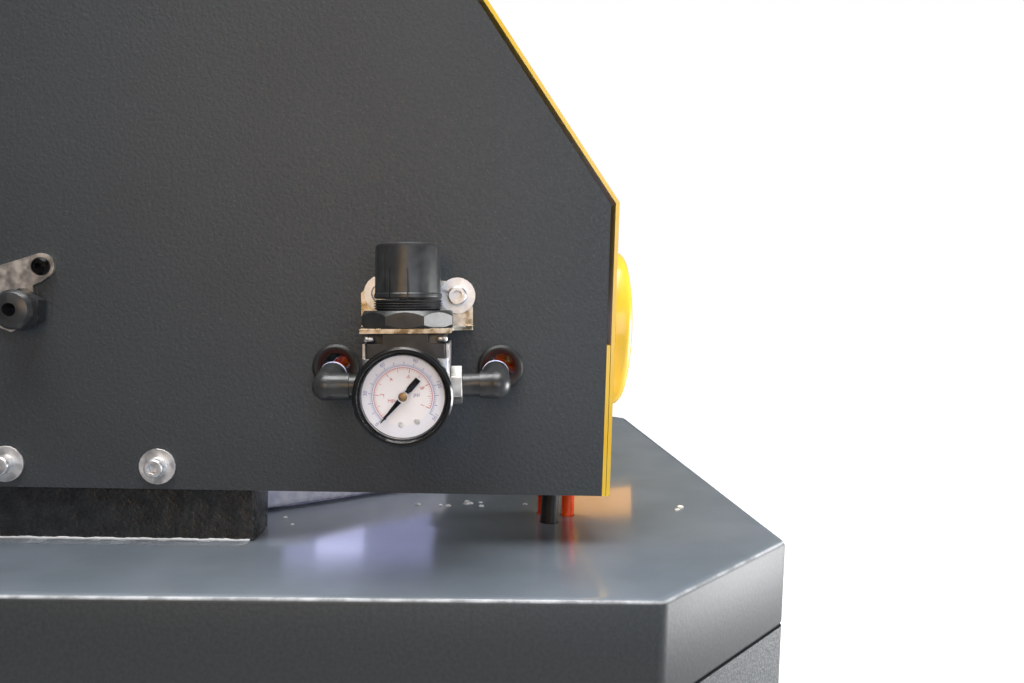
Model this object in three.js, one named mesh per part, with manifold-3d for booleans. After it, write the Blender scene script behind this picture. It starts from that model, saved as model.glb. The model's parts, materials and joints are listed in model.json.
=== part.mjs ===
// Wet grinding sharpener: a bench-height cabinet with a coolant tank, a drip tray, and a
// sheet-metal head that houses the grinding unit. Millimetres, +Z up, the front faces -Y.
import * as THREE from 'three';
import { mergeVertices } from 'three/addons/utils/BufferGeometryUtils.js';
import { ConvexGeometry } from 'three/addons/geometries/ConvexGeometry.js';
import Module from 'manifold-3d';

const wasm = await Module();
wasm.setup();

// ---- driving dimensions -------------------------------------------------------------------
const GAP = 0.3; // running clearance between neighbouring pieces
const SHEET = 3; // cabinet and side-panel sheet
const TRAY_X = 325; // half width of the tray
const TRAY_Y = 430; // half depth of the tray
const CHAMFER = 91; // corner cut of the tray and the cabinet, in plan
const DECK_Z = 760; // top of the tray rim
const TRAY_H = 48;
const TRAY_SKIN = 12; // rim height to the underside of the pan
const PAN_DEPTH = 4;
const PAN_INSET = 88; // width of the sloping border round the pan
const BASE_Z = 70; // underside of the cabinet's floor plate
const HEAD_X = 237; // outer face of each side panel
const FRONT_Y = -324; // front edge of the side panels
const REAR_Y = 316;
const HEAD_Z = 784.6; // lower edge of the side panels
const FRONT_H = 159; // height of the upright front edge
const HEAD_H = 560;
const SLOPE = THREE.MathUtils.degToRad(35.5); // front slope, from the vertical
const TOP_Z = HEAD_Z + HEAD_H;
const TOP_Y = FRONT_Y + (HEAD_H - FRONT_H) * Math.tan(SLOPE);
const APRON_H = 83; // height of the fixed front apron
const HOOD_OUT = 4.6; // outer face of the hood, from the panel edges
const HOOD_SHEET = 2;
const DOOR = { x: 200, low: 370, high: 680 };
const BAY = { x: 200, low: 75, high: 330 };
const PIVOT = { y: 105, z: 1150 }; // tilt axis of the grinding head, along Y
const WHEEL = { y: -40, z: 1120, r: 62 }; // wheel axis, along X
const ARBOR_Z = 925;
const REG = { x: -HEAD_X - 30, y: -220.2, z: 846.4 }; // air regulator: stem axis and port height
const REG_HALF = 20.6; // half width of the regulator's body
const LEAN = -1.9; // degrees the regulator leans on its bracket, about the gauge's port
const GAUGE_Y = -221.3;
const ELBOW_FRONT = 43.6; // reach of each elbow's tube axis from the stem axis
const ELBOW_REAR = 41;
const GROMMET_FRONT = { y: -266.6, z: 854.1 };
const GROMMET_REAR = { y: -178.7, z: 852.3 };
const BED_SCREW_Z = 797;
const BED_SCREWS = [-85.5, -6.9];
const BRACKET_SCREW_Z = 892.3;
const BRACKET_SCREWS = [-242.5, -202.6];
const GLAND = { y: -18.6, z: 878.7 };
const GLAND_SCREW = { y: -26.1, z: 901.3 };
const HOSE = { x: -187.4, y: -300.8, r: 5.4 };
const TUBE_R = 4;
const TUBE_FRONT_DROP = { x: -171.4, y: -314 };
const TUBE_REAR_DROP = { x: -167.4, y: -299 };
const FLANGE_Z = 873.2; // underside of the regulator bracket's flange

// ---- solids -------------------------------------------------------------------------------
function solid(geometry) {
  const bare = geometry.clone();
  bare.deleteAttribute('normal');
  bare.deleteAttribute('uv');
  const merged = mergeVertices(bare, 1e-4);
  return new wasm.Manifold(new wasm.Mesh({
    numProp: 3,
    vertProperties: new Float32Array(merged.attributes.position.array),
    triVerts: new Uint32Array(merged.index.array),
  }));
}

const union = (...parts) => parts.reduce((a, b) => a.add(b));
const cut = (body, ...tools) => tools.reduce((a, b) => a.subtract(b), body);

function block(x0, x1, y0, y1, z0, z1) {
  const g = new THREE.BoxGeometry(x1 - x0, y1 - y0, z1 - z0);
  return solid(g.translate((x0 + x1) / 2, (y0 + y1) / 2, (z0 + z1) / 2));
}

// Turns a geometry made along +Z (extrusions) or +Y (lathes, cylinders) to another axis.
const FROM_Z = {
  z: new THREE.Matrix4(),
  x: new THREE.Matrix4().set(0, 0, 1, 0, 1, 0, 0, 0, 0, 1, 0, 0, 0, 0, 0, 1),
  y: new THREE.Matrix4().set(0, 1, 0, 0, 0, 0, 1, 0, 1, 0, 0, 0, 0, 0, 0, 1),
};
const FROM_Y = {
  '+z': new THREE.Matrix4().makeRotationX(Math.PI / 2),
  '+y': new THREE.Matrix4(),
  '-y': new THREE.Matrix4().makeRotationX(Math.PI),
  '+x': new THREE.Matrix4().makeRotationZ(-Math.PI / 2),
  '-x': new THREE.Matrix4().makeRotationZ(Math.PI / 2),
};

function turned(profile, axis, [x, y, z], segments = 24) {
  const g = new THREE.LatheGeometry(profile.map(([r, h]) => new THREE.Vector2(r, h)), segments);
  return solid(g.applyMatrix4(FROM_Y[axis]).translate(x, y, z));
}

function rod(radius, length, axis, at, segments = 24) {
  return turned([[0, 0], [radius, 0], [radius, length], [0, length]], axis, at, segments);
}

function ring(inner, outer, length, axis, at, segments = 24) {
  const p = [[inner, 0], [outer, 0], [outer, length], [inner, length], [inner, 0]];
  return turned(p, axis, at, segments);
}

function outline(points, radius = 0) {
  const shape = new THREE.Shape();
  const v = points.map(([a, b]) => new THREE.Vector2(a, b));
  v.forEach((p, i) => {
    const before = v[(i + v.length - 1) % v.length];
    const after = v[(i + 1) % v.length];
    const a = p.clone().lerp(before, radius / p.distanceTo(before));
    const b = p.clone().lerp(after, radius / p.distanceTo(after));
    if (i === 0) shape.moveTo(a.x, a.y);
    else shape.lineTo(a.x, a.y);
    if (radius > 0) shape.quadraticCurveTo(p.x, p.y, b.x, b.y);
  });
  return shape;
}

// A plate of the given outline between two heights on one axis. For x the outline is (y, z),
// for y it is (z, x), for z it is (x, y).
function plate(axis, from, to, points, radius = 0, curve = 2) {
  const shape = points instanceof THREE.Shape ? points : outline(points, radius);
  const options = { depth: to - from, bevelEnabled: false, curveSegments: curve };
  const g = new THREE.ExtrudeGeometry(shape, options);
  return solid(g.translate(0, 0, from).applyMatrix4(FROM_Z[axis]));
}

function hexPlate(axis, from, to, [a, b], flats, twist = 0) {
  const r = flats / Math.sqrt(3);
  const corners = Array.from({ length: 6 }, (_, i) => {
    const t = twist + (i * Math.PI) / 3;
    return [a + r * Math.cos(t), b + r * Math.sin(t)];
  });
  return plate(axis, from, to, corners);
}

function swept(points, radius, steps = 20, curve = 5) {
  const circle = new THREE.Shape();
  circle.absarc(0, 0, radius, 0, Math.PI * 2);
  const path = new THREE.CatmullRomCurve3(points.map((p) => new THREE.Vector3(...p)));
  const options = { steps, extrudePath: path, curveSegments: curve };
  return solid(new THREE.ExtrudeGeometry(circle, options));
}

// ---- library ------------------------------------------------------------------------------
const machine = new THREE.Group();
machine.name = 'wet_grinding_sharpener';

function addPart(name, body, color, metalness, roughness) {
  const mesh = body.getMesh();
  const g = new THREE.BufferGeometry();
  g.setAttribute('position', new THREE.BufferAttribute(new Float32Array(mesh.vertProperties), 3));
  g.setIndex(new THREE.BufferAttribute(new Uint32Array(mesh.triVerts), 1));
  const flat = g.toNonIndexed();
  flat.computeVertexNormals();
  const material = new THREE.MeshStandardMaterial({ color, metalness, roughness });
  const part = new THREE.Mesh(flat, material);
  part.name = name;
  machine.add(part);
}

const paintDark = (name, body) => addPart(name, body, 0x45494c, 0.1, 0.6);
const paintYellow = (name, body) => addPart(name, body, 0xf2c21c, 0.0, 0.45);
const castPaint = (name, body) => addPart(name, body, 0x2e3234, 0.1, 0.7);
const steel = (name, body) => addPart(name, body, 0xb8bcc0, 1.0, 0.35);
const aluminium = (name, body) => addPart(name, body, 0xc4c6c8, 1.0, 0.45);
const blackPlastic = (name, body) => addPart(name, body, 0x1c1d1f, 0.0, 0.5);
const rubber = (name, body) => addPart(name, body, 0x141414, 0.0, 0.85);

// ---- cabinet and tray ---------------------------------------------------------------------
// Plan of the tray and cabinet: a rectangle with cut corners, moved in by the inset.
function plan(inset) {
  const x = TRAY_X - inset;
  const y = TRAY_Y - inset;
  const c = CHAMFER - inset * (2 - Math.SQRT2);
  const right = [[x - c, -y], [x, c - y], [x, y - c], [x - c, y]];
  return [...right, ...right.map(([a, b]) => [-a, -b])];
}

function trayBody() {
  const bevel = 2.5;
  const options = {
    depth: TRAY_H - 2 * bevel, bevelThickness: bevel, bevelSize: bevel, bevelOffset: -bevel,
    bevelSegments: 2, curveSegments: 2,
  };
  const slab = new THREE.ExtrudeGeometry(outline(plan(0), 3), options);
  return solid(slab.translate(0, 0, DECK_Z - TRAY_H + bevel));
}

function dishCutter() {
  const at = (inset, z) => plan(inset).map(([x, y]) => new THREE.Vector3(x, y, z));
  const deep = DECK_Z - PAN_DEPTH;
  return solid(new ConvexGeometry([...at(5, DECK_Z), ...at(5, DECK_Z + 9), ...at(PAN_INSET, deep)]));
}

function trayHole(x, y, r) {
  return rod(r, TRAY_SKIN + 10, '+z', [x, y, DECK_Z - TRAY_SKIN - 5], 16);
}

const DRAIN = { x: 0, y: -200, r: 20 };
paintDark('drip_tray', cut(
  trayBody(),
  dishCutter(),
  plate('z', DECK_Z - TRAY_H - 1, DECK_Z - TRAY_SKIN, plan(6)),
  trayHole(DRAIN.x, DRAIN.y, DRAIN.r),
  trayHole(HOSE.x, HOSE.y, HOSE.r + 0.6),
  trayHole(TUBE_FRONT_DROP.x, TUBE_FRONT_DROP.y, TUBE_R + 0.6),
  trayHole(TUBE_REAR_DROP.x, TUBE_REAR_DROP.y, TUBE_R + 0.6),
));

function cabinetBody() {
  const top = DECK_Z - TRAY_H - GAP;
  const shell = cut(plate('z', 0, top, plan(0), 3), plate('z', -1, top + 1, plan(SHEET)));
  const floor = plate('z', BASE_Z, BASE_Z + SHEET, plan(1));
  const shelf = cut(plate('z', 345, 348, plan(1)), rod(30, 20, '+z', [DRAIN.x, DRAIN.y, 340], 16));
  const runner = (x) => block(x - 10, x + 10, -400, 300, BASE_Z + 1, BASE_Z + SHEET + 2.7);
  const opening = (o) => block(-o.x, o.x, -TRAY_Y - 1, -TRAY_Y + SHEET + 1, o.low, o.high);
  return cut(union(shell, floor, shelf, runner(-150), runner(150)), opening(DOOR), opening(BAY));
}
paintDark('cabinet', cabinetBody());

const LATCH = { x: 165, z: 525, reach: 39 }; // reach: length of the cam, which is cranked inward
const STIFFENER = 148; // half width of the folded frame behind the door
function doorBody() {
  const skin = block(-198.5, 198.5, -TRAY_Y, -TRAY_Y + 2.5, DOOR.low + 1.5, DOOR.high - 1.5);
  const stiffener = cut(
    block(-STIFFENER, STIFFENER, -TRAY_Y + 2, -TRAY_Y + 16, DOOR.low + 20, DOOR.high - 20),
    block(3 - STIFFENER, STIFFENER - 3, -TRAY_Y + 2.5, -TRAY_Y + 17, DOOR.low + 23, DOOR.high - 23),
  );
  return cut(union(skin, stiffener), rod(12.5, 20, '+y', [LATCH.x, -TRAY_Y - 5, LATCH.z], 20));
}
paintDark('cabinet_door', doorBody());

function latchBody() {
  const barrel = rod(12, 11.5, '+y', [LATCH.x, -TRAY_Y + 0.2, LATCH.z], 20);
  const [back, front] = [-TRAY_Y + 13.5, -TRAY_Y + 11];
  const tongue = block(LATCH.x - 7, LATCH.x + 7, front, back, LATCH.z - LATCH.reach, LATCH.z + 7);
  const key = block(LATCH.x - 8, LATCH.x + 8, -TRAY_Y - 1, -TRAY_Y + 2.2, LATCH.z - 1.5, LATCH.z + 1.5);
  return cut(union(barrel, tongue), key);
}
steel('door_latch', latchBody());

const TANK = { x: 196, y0: -426.5, y1: 250, z0: 76, z1: 230, wall: 3 };
function tankBody() {
  const box = block(-TANK.x, TANK.x, TANK.y0, TANK.y1, TANK.z0, TANK.z1);
  const hollow = block(
    -TANK.x + TANK.wall, TANK.x - TANK.wall, TANK.y0 + TANK.wall, TANK.y1 - TANK.wall,
    TANK.z0 + TANK.wall, TANK.z1 + 1,
  );
  const front = block(-198.5, 198.5, -TRAY_Y, TANK.y0 + 1, TANK.z0 + 0.5, BAY.high - 1.5);
  const pull = plate('y', -TRAY_Y - 1, -TRAY_Y + 9, [[276, -60], [300, -60], [300, 60], [276, 60]], 10);
  return cut(union(box, front), hollow, pull);
}
paintDark('coolant_tank', tankBody());

function pumpBody() {
  const [x, y] = [120, 170];
  const flange = block(x - 76.5, x + 76.5, y - 60, y + 60, TANK.z1 + GAP, TANK.z1 + 6);
  const motor = turned(
    [[0, 0], [50, 0], [50, 66], [44, 74], [44, 84], [0, 84]], '+z', [x, y, TANK.z1 + 5], 18,
  );
  const stem = rod(30, 126, '+z', [x, y, TANK.z1 - 125], 16);
  return union(flange, motor, stem);
}
addPart('coolant_pump', pumpBody(), 0x2f5f7a, 0.2, 0.5);

// ---- head: bed, column and panels ---------------------------------------------------------
const RAIL_OUT = HEAD_X - SHEET - GAP;
const PAN_Z = DECK_Z - PAN_DEPTH + GAP;
function bedBody() {
  const end = (side) => {
    const [a, b] = side > 0 ? [RAIL_OUT - 29, RAIL_OUT] : [-RAIL_OUT, -RAIL_OUT + 29];
    return plate('z', PAN_Z, 842, [[a, -135.3], [b, -135.3], [b, 300], [a, 300]], 1);
  };
  const plinth = block(-RAIL_OUT + 5, RAIL_OUT - 5, -60, 300, PAN_Z, 800);
  const bore = (y) => rod(3.4, 24, '+x', [-HEAD_X, y, BED_SCREW_Z], 12);
  return cut(union(end(-1), end(1), plinth), ...BED_SCREWS.map(bore));
}
castPaint('bed_casting', bedBody());

function panelOutline() {
  const front = [[TOP_Y, TOP_Z], [FRONT_Y, HEAD_Z + FRONT_H], [FRONT_Y, HEAD_Z]];
  return [[REAR_Y, HEAD_Z], [REAR_Y, TOP_Z], ...front];
}

function leftPanel() {
  const skin = plate('x', -HEAD_X, -HEAD_X + SHEET, panelOutline());
  const hole = (y, z, r) => rod(r, 9, '+x', [-HEAD_X - 3, y, z], r > 5 ? 24 : 12);
  return cut(
    skin,
    ...BED_SCREWS.map((y) => hole(y, BED_SCREW_Z, 3.4)),
    ...BRACKET_SCREWS.map((y) => hole(y, BRACKET_SCREW_Z, 3.4)),
    hole(GROMMET_FRONT.y, GROMMET_FRONT.z, 10),
    hole(GROMMET_REAR.y, GROMMET_REAR.z, 10),
    hole(GLAND.y, GLAND.z, 7),
    hole(GLAND_SCREW.y, GLAND_SCREW.z, 2.9),
  );
}
paintDark('side_panel_left', leftPanel());
paintDark('side_panel_right', plate('x', HEAD_X - SHEET, HEAD_X, panelOutline()));

function rearCover() {
  const y0 = TOP_Y + 4;
  const skin = plate('x', -RAIL_OUT, RAIL_OUT, [
    [y0, TOP_Z - 2], [REAR_Y - 2, TOP_Z - 2], [REAR_Y - 2, HEAD_Z],
    [REAR_Y, HEAD_Z], [REAR_Y, TOP_Z], [y0, TOP_Z],
  ]);
  const slot = (i) => block(-90, 90, REAR_Y - 5, REAR_Y + 5, 1050 + i * 24, 1058 + i * 24);
  return cut(skin, ...[0, 1, 2, 3, 4, 5].map(slot));
}
paintDark('rear_cover', rearCover());

const APRON_SHEET = 2;
paintYellow('front_apron', block(
  -HEAD_X, HEAD_X, FRONT_Y - GAP - APRON_SHEET, FRONT_Y - GAP, HEAD_Z, HEAD_Z + APRON_H,
));

// Points of the front profile (foot, bend, top) moved outward by d.
function frontLine(d) {
  const [c, s] = [Math.cos(SLOPE), Math.sin(SLOPE)];
  return [
    [FRONT_Y - d, HEAD_Z],
    [FRONT_Y - d, HEAD_Z + FRONT_H + d * Math.tan(SLOPE / 2)],
    [TOP_Y - d * c, TOP_Z + d * s],
  ];
}

// Carries a solid made in (x, distance up the slope from the bend, distance out) onto the slope.
function onSlope(body) {
  const [c, s] = [Math.cos(SLOPE), Math.sin(SLOPE)];
  return body.transform([1, 0, 0, 0, 0, s, c, 0, 0, -c, s, 0, 0, FRONT_Y, HEAD_Z + FRONT_H, 1]);
}

const WINDOW = { x: 165, low: 95, high: 330 };
function hoodBody() {
  const outer = frontLine(HOOD_OUT);
  const inner = frontLine(HOOD_OUT - HOOD_SHEET).reverse();
  const sheet = plate('x', -HEAD_X, HEAD_X, [...outer, ...inner]);
  return cut(sheet, onSlope(block(-WINDOW.x, WINDOW.x, WINDOW.low, WINDOW.high, -5, 15)));
}
paintYellow('hood', hoodBody());

addPart('hood_window', onSlope(block(
  -WINDOW.x - 15, WINDOW.x + 15, WINDOW.low - 15, WINDOW.high + 15,
  HOOD_OUT - HOOD_SHEET - GAP - 4, HOOD_OUT - HOOD_SHEET - GAP,
)), 0xdfe6e8, 0.0, 0.1);

function handleBody() {
  const foot = HOOD_OUT + GAP;
  const post = (x) => rod(6, 32, '+z', [x, 45, foot], 12);
  return onSlope(union(post(-52), post(52), rod(7, 120, '+x', [-60, 45, foot + 30], 14)));
}
blackPlastic('hood_handle', handleBody());

// A round pressed cap with a turned-down rim, hollow behind.
function domeBody() {
  const inside = [[0, 8.6], [43, 7.4], [43, 0]];
  const outside = [[46, 0], [46, 5.5], [45.2, 8], [43.4, 9.6], [40, 10.5], [30, 11], [0, 11.4]];
  return turned([...inside, ...outside], '-y', [-189.5, FRONT_Y - HOOD_OUT - GAP, 875.6], 40);
}
paintYellow('hood_dome', domeBody());

// ---- grinding unit ------------------------------------------------------------------------
function columnBody() {
  const sides = [[170, 800.3], [300, 800.3], [300, 1000], [250, 1290], [170, 1290]];
  const rail = (x) => block(x - 10, x + 10, 155, 171, 900, 1285);
  return union(plate('x', -70, 70, sides, 6), rail(-50), rail(50));
}
castPaint('column', columnBody());

function slideBody() {
  const groove = (x) => block(x - 10.4, x + 10.4, 154.6, 180, 1000, 1300);
  const slab = plate('y', 128, 169.7, [[1060, -80], [1240, -80], [1240, 80], [1060, 80]], 8);
  return cut(slab, groove(-50), groove(50));
}
castPaint('vertical_slide', slideBody());

function headBody() {
  const disc = rod(60, 22.7, '+y', [0, PIVOT.y, PIVOT.z], 24);
  const wall = plate('x', 30, 44.6, [[-95, 1065], [112, 1065], [112, 1175], [-95, 1175]], 12);
  const rib = plate('x', 20, 31, [[60, 1120], [106, 1100], [106, 1195], [60, 1160]]);
  return cut(union(disc, wall, rib), rod(14, 40, '+x', [20, WHEEL.y, WHEEL.z], 20));
}
castPaint('grinding_head', headBody());

function motorBody() {
  const can = turned(
    [[0, 0], [44, 0], [44, 4], [50, 4], [50, 120], [46, 124], [46, 145], [40, 149], [0, 149]],
    '+x', [45, WHEEL.y, WHEEL.z], 18,
  );
  const terminal = block(80, 140, WHEEL.y - 24, WHEEL.y + 24, WHEEL.z + 44, WHEEL.z + 66);
  return cut(union(can, terminal), rod(9, 30, '+x', [44, WHEEL.y, WHEEL.z], 16));
}
addPart('grinding_motor', motorBody(), 0x3c4650, 0.3, 0.5);

function spindleBody() {
  const shaft = turned([
    [0, 0], [8, 0], [8, 42], [20, 42], [20, 48], [8, 48], [8, 60.3], [12, 60.3], [12, 70], [0, 70],
  ], '-x', [50.3, WHEEL.y, WHEEL.z], 16);
  return shaft;
}
steel('spindle', spindleBody());

function wheelBody() {
  return turned(
    [[8.8, 0], [WHEEL.r, 0], [WHEEL.r, 6], [48, 11.4], [8.8, 11.4], [8.8, 0]],
    '-x', [2, WHEEL.y, WHEEL.z], 30,
  );
}
addPart('grinding_wheel', wheelBody(), 0x8c7b4a, 0.3, 0.7);

function guardBody() {
  const half = (r, low) => {
    const arc = Array.from({ length: 13 }, (_, i) => {
      const t = (i * Math.PI) / 12;
      return [WHEEL.y + r * Math.cos(t), WHEEL.z + r * Math.sin(t)];
    });
    return [...arc, [WHEEL.y - r, low], [WHEEL.y + r, low]];
  };
  return cut(
    plate('x', -26, 29.7, half(76, WHEEL.z - 14)),
    plate('x', -24, 27.5, half(70, WHEEL.z - 30)),
    rod(11, 10, '+x', [24, WHEEL.y, WHEEL.z], 16),
  );
}
paintDark('wheel_guard', guardBody());

function carriageBody() {
  const base = plate('z', 800.3, 826, [[-60, -55], [60, -55], [60, 45], [-60, 45]], 6);
  const upright = plate('y', -55, -15, [[820, -42], [975, -30], [975, 62], [820, 62]], 8);
  return cut(union(base, upright), rod(15.8, 60, '+y', [0, -65, ARBOR_Z], 20));
}
castPaint('blade_carriage', carriageBody());

function arborBody() {
  return turned([
    [0, 0], [15, 0], [15, 45.4], [45, 45.4], [45, 55],
    [12.5, 55], [12.5, 78], [8, 78], [8, 112], [0, 112],
  ], '-y', [0, -10, ARBOR_Z], 20);
}
steel('blade_arbor', arborBody());

function clampBody() {
  const lobes = Array.from({ length: 30 }, (_, i) => {
    const t = (i * Math.PI) / 15;
    const r = 30 + 3.5 * Math.cos(6 * t);
    return [ARBOR_Z + r * Math.cos(t), r * Math.sin(t)];
  });
  const grip = plate('y', -114, -92, lobes);
  const cup = rod(33, 18, '-y', [0, -76, ARBOR_Z], 20);
  const bore = (r, depth) => rod(r, depth, '-y', [0, -74, ARBOR_Z], 16);
  return cut(union(grip, cup), bore(13.2, 16), bore(8.8, 50));
}
blackPlastic('clamp_knob', clampBody());

const FINGER = { x: 51, z: 961 };
function fingerBody() {
  const bar = plate('y', -60, -55.4, [[954, 44], [954, 59], [1002, 24], [1000, 17]], 2);
  const boss = rod(8, 9, '-y', [FINGER.x, -55.4, FINGER.z], 16);
  return union(bar, boss);
}
steel('index_finger', fingerBody());

// ---- coolant ------------------------------------------------------------------------------
const VALVE = { x: -218, y: -120, z: 990 };
function valveBody() {
  const body = block(-233.7, -203, VALVE.y - 14, VALVE.y + 14, VALVE.z, VALVE.z + 30);
  const inlet = rod(HOSE.r + 1, 12, '+z', [VALVE.x, VALVE.y, VALVE.z - 1], 16);
  const outlet = rod(5.4, 12, '-x', [-202, VALVE.y, VALVE.z + 15], 16);
  return cut(body, inlet, outlet);
}
addPart('coolant_valve', valveBody(), 0xc09a4a, 1.0, 0.35);

function leverBody() {
  const z = VALVE.z + 30 + GAP;
  const side = (w, y) => [[VALVE.x - w, VALVE.y + y], [VALVE.x + w, VALVE.y + y]];
  const bar = plate('z', z + 4, z + 8, [...side(6, -50), ...side(7, 9).reverse()], 4);
  return union(bar, rod(6, 5, '+z', [VALVE.x, VALVE.y, z], 16));
}
addPart('valve_lever', leverBody(), 0x2c5aa8, 0.1, 0.5);

steel('coolant_nozzle', swept([
  [-208, VALVE.y, VALVE.z + 15], [-180, VALVE.y, VALVE.z + 17], [-120, VALVE.y + 5, VALVE.z + 30],
  [-85, VALVE.y + 30, VALVE.z + 34], [-58, VALVE.y + 52, VALVE.z + 28],
], 4.8, 14));

rubber('coolant_hose', swept([
  [HOSE.x, HOSE.y, 690], [HOSE.x, HOSE.y, 760], [HOSE.x, HOSE.y, 840], [-196, -262, 905],
  [-212, -180, 945], [VALVE.x, -132, 962], [VALVE.x, VALVE.y, 986], [VALVE.x, VALVE.y, 995],
], HOSE.r, 22));

const PIPE = { r: 10, from: [-188, -98, 766.6], to: [-92, -229, 766.6] };
const pipePoint = (t) => PIPE.from.map((v, i) => v + (PIPE.to[i] - v) * t);
steel('coolant_pipe', swept([0, 1 / 3, 2 / 3, 1].map(pipePoint), PIPE.r, 6, 8));

// ---- controls -----------------------------------------------------------------------------
const BOX = { y: 40, low: TOP_Z + GAP, high: 1545 };
const ESTOP = { x: 105, z: 1395 };
const BUTTONS = { start: -110, stop: -60, z: 1388 };
const SWITCH = { x: 5, z: 1388 };
function boxBody() {
  const section = [[BOX.y, BOX.low], [230, BOX.low], [230, BOX.high], [BOX.y, BOX.high]];
  const shell = plate('x', -150, 150, section, 4);
  const hollow = block(-147, 147, BOX.y + 6, 227, BOX.low - 1, BOX.high - 3);
  const hole = (x, z, r) => rod(r + 0.3, 20, '+y', [x, BOX.y - 5, z], 14);
  const screen = block(-130, 60, BOX.y - 1, BOX.y + 3, 1418, 1532);
  const places = [
    [ESTOP.x, ESTOP.z], [BUTTONS.start, BUTTONS.z], [BUTTONS.stop, BUTTONS.z], [SWITCH.x, SWITCH.z],
  ];
  return cut(shell, hollow, screen, ...places.map(([x, z]) => hole(x, z, 11.4)));
}
addPart('control_box', boxBody(), 0xc9cbca, 0.1, 0.5);
addPart('display', block(-129.6, 59.6, BOX.y + 0.4, BOX.y + 2.7, 1418.4, 1531.6), 0x101418, 0.0, 0.15);

function button(x, z, profile) {
  return turned(profile, '-y', [x, BOX.y + 22, z], 16);
}
addPart('estop_button', button(ESTOP.x, ESTOP.z, [
  [0, 0], [11, 0], [11, 32], [20, 34], [20, 42], [17, 46], [0, 47],
]), 0xc81e1e, 0.0, 0.4);
const PUSH = [[0, 0], [11, 0], [11, 28], [9.5, 29.5], [0, 29.5]];
addPart('start_button', button(BUTTONS.start, BUTTONS.z, PUSH), 0x1f9a4a, 0.0, 0.4);
addPart('stop_button', button(BUTTONS.stop, BUTTONS.z, PUSH), 0xb02020, 0.0, 0.4);

function switchBody() {
  const stem = button(SWITCH.x, SWITCH.z, [[0, 0], [11, 0], [11, 24], [19, 24], [19, 30], [0, 30]]);
  const grip = block(SWITCH.x - 5, SWITCH.x + 5, BOX.y - 21, BOX.y - 5, SWITCH.z - 17, SWITCH.z + 17);
  return union(stem, grip);
}
blackPlastic('main_switch', switchBody());

// ---- air regulator ------------------------------------------------------------------------
const OUT = (d) => -HEAD_X - d; // x at a distance outward from the left panel
const GAUGE = (d) => [OUT(d), GAUGE_Y, REG.z]; // a point on the gauge's axis
const [BODY_BACK, BODY_FRONT] = [10.5, 49.5];

const BODY_LOW = 838.2; // underside of the body, above its round valve cap
const BONNET_Z = 861.4; // joint between the die-cast body and the bonnet
const CHEEK = 1.4; // thickness of the ears that clasp the bonnet
const POCKET = 5; // depth of the pockets for the clip screws, below the flange

// Leans a solid of the regulator about the axis of its gauge's port.
function lean(body) {
  return body.translate([0, -REG.y, -REG.z]).rotate([LEAN, 0, 0]).translate([0, REG.y, REG.z]);
}

// The (y, z) of a point that leans with the regulator, from its distances to the stem axis and port.
function leaning(dy, dz = 0) {
  const t = THREE.MathUtils.degToRad(LEAN);
  return [REG.y + dy * Math.cos(t) - dz * Math.sin(t), REG.z + dy * Math.sin(t) + dz * Math.cos(t)];
}

function regulatorBody() {
  const [y0, y1] = [REG.y - REG_HALF, REG.y + REG_HALF];
  const [x0, x1] = [OUT(BODY_FRONT), OUT(BODY_BACK)];
  const core = plate('z', BODY_LOW, BONNET_Z - GAP, [[x0, y0], [x1, y0], [x1, y1], [x0, y1]], 3);
  const capLine = [[0, 0], [11, 0], [13, 1.5], [13, 13], [0, 13]];
  const cap = turned(capLine, '+z', [REG.x, REG.y, BODY_LOW - 12], 24);
  const cheek = (a, b) => block(x0 + 2, x1 - 2, a, b, BONNET_Z - 1, FLANGE_Z - POCKET);
  const port = (dir, y) => rod(6.3, 12, dir, [REG.x, y, REG.z], 16);
  const solidBody = lean(union(core, cap, cheek(y0, y0 + CHEEK), cheek(y1 - CHEEK, y1)));
  const ports = union(port('+y', y0 - 1), port('-y', y1 + 1));
  return cut(solidBody, lean(ports), rod(5.2, 12, '+x', GAUGE(BODY_FRONT + 1), 16));
}
aluminium('regulator_body', regulatorBody());

function bonnetBody() {
  const half = REG_HALF - CHEEK - GAP;
  const [x0, x1] = [OUT(BODY_FRONT), OUT(BODY_BACK)];
  const [y0, y1] = [REG.y - half, REG.y + half];
  const core = plate('z', BONNET_Z, FLANGE_Z - GAP, [[x0, y0], [x1, y0], [x1, y1], [x0, y1]], 1);
  const thread = [0, 1, 2, 3].flatMap((i) => [[15.8, 12.4 + i * 1.25], [17.1, 12.9 + i * 1.25]]);
  const neckLine = [[0, 0], [15.2, 0], [15.2, 12], ...thread, [15.8, 17.4], [0, 17.4]];
  const neck = turned(neckLine, '+z', [REG.x, REG.y, FLANGE_Z - 1.2], 28);
  const pocket = (a, b) => block(x0 - 1, x0 + 4, a, b, FLANGE_Z - POCKET, FLANGE_Z);
  return lean(cut(union(core, neck), pocket(y0 - 1, y0 + 8.2), pocket(y1 - 8.2, y1 + 1)));
}
blackPlastic('regulator_bonnet', bonnetBody());

function bracketBody() {
  const [z0, z1] = [FLANGE_Z, FLANGE_Z + 2.3];
  const [rear, front] = [-192.9, -252.2];
  const [shoulder, top] = [893, 899.2];
  const half = REG_HALF + 1;
  const flange = plate('z', z0, z1, [
    [OUT(50), REG.y - half], [OUT(50), REG.y + half], [OUT(11), REG.y + half], [OUT(7), rear],
    [OUT(GAP), rear], [OUT(GAP), front], [OUT(7), front], [OUT(11), REG.y - half],
  ]);
  const back = plate('x', OUT(2.6), OUT(GAP), [
    [front, z0], [front, shoulder], [front + 6, top], [rear - 6, top], [rear, shoulder], [rear, z0],
  ]);
  const collar = rod(15.6, 9, '+z', [REG.x, REG.y, z0 - 3], 28);
  const holes = BRACKET_SCREWS.map((y) => rod(3.5, 9, '+x', [OUT(6), y, BRACKET_SCREW_Z], 16));
  return cut(lean(cut(union(flange, back), collar)), ...holes);
}
addPart('regulator_bracket', bracketBody(), 0xc8a860, 1.0, 0.35);

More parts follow.
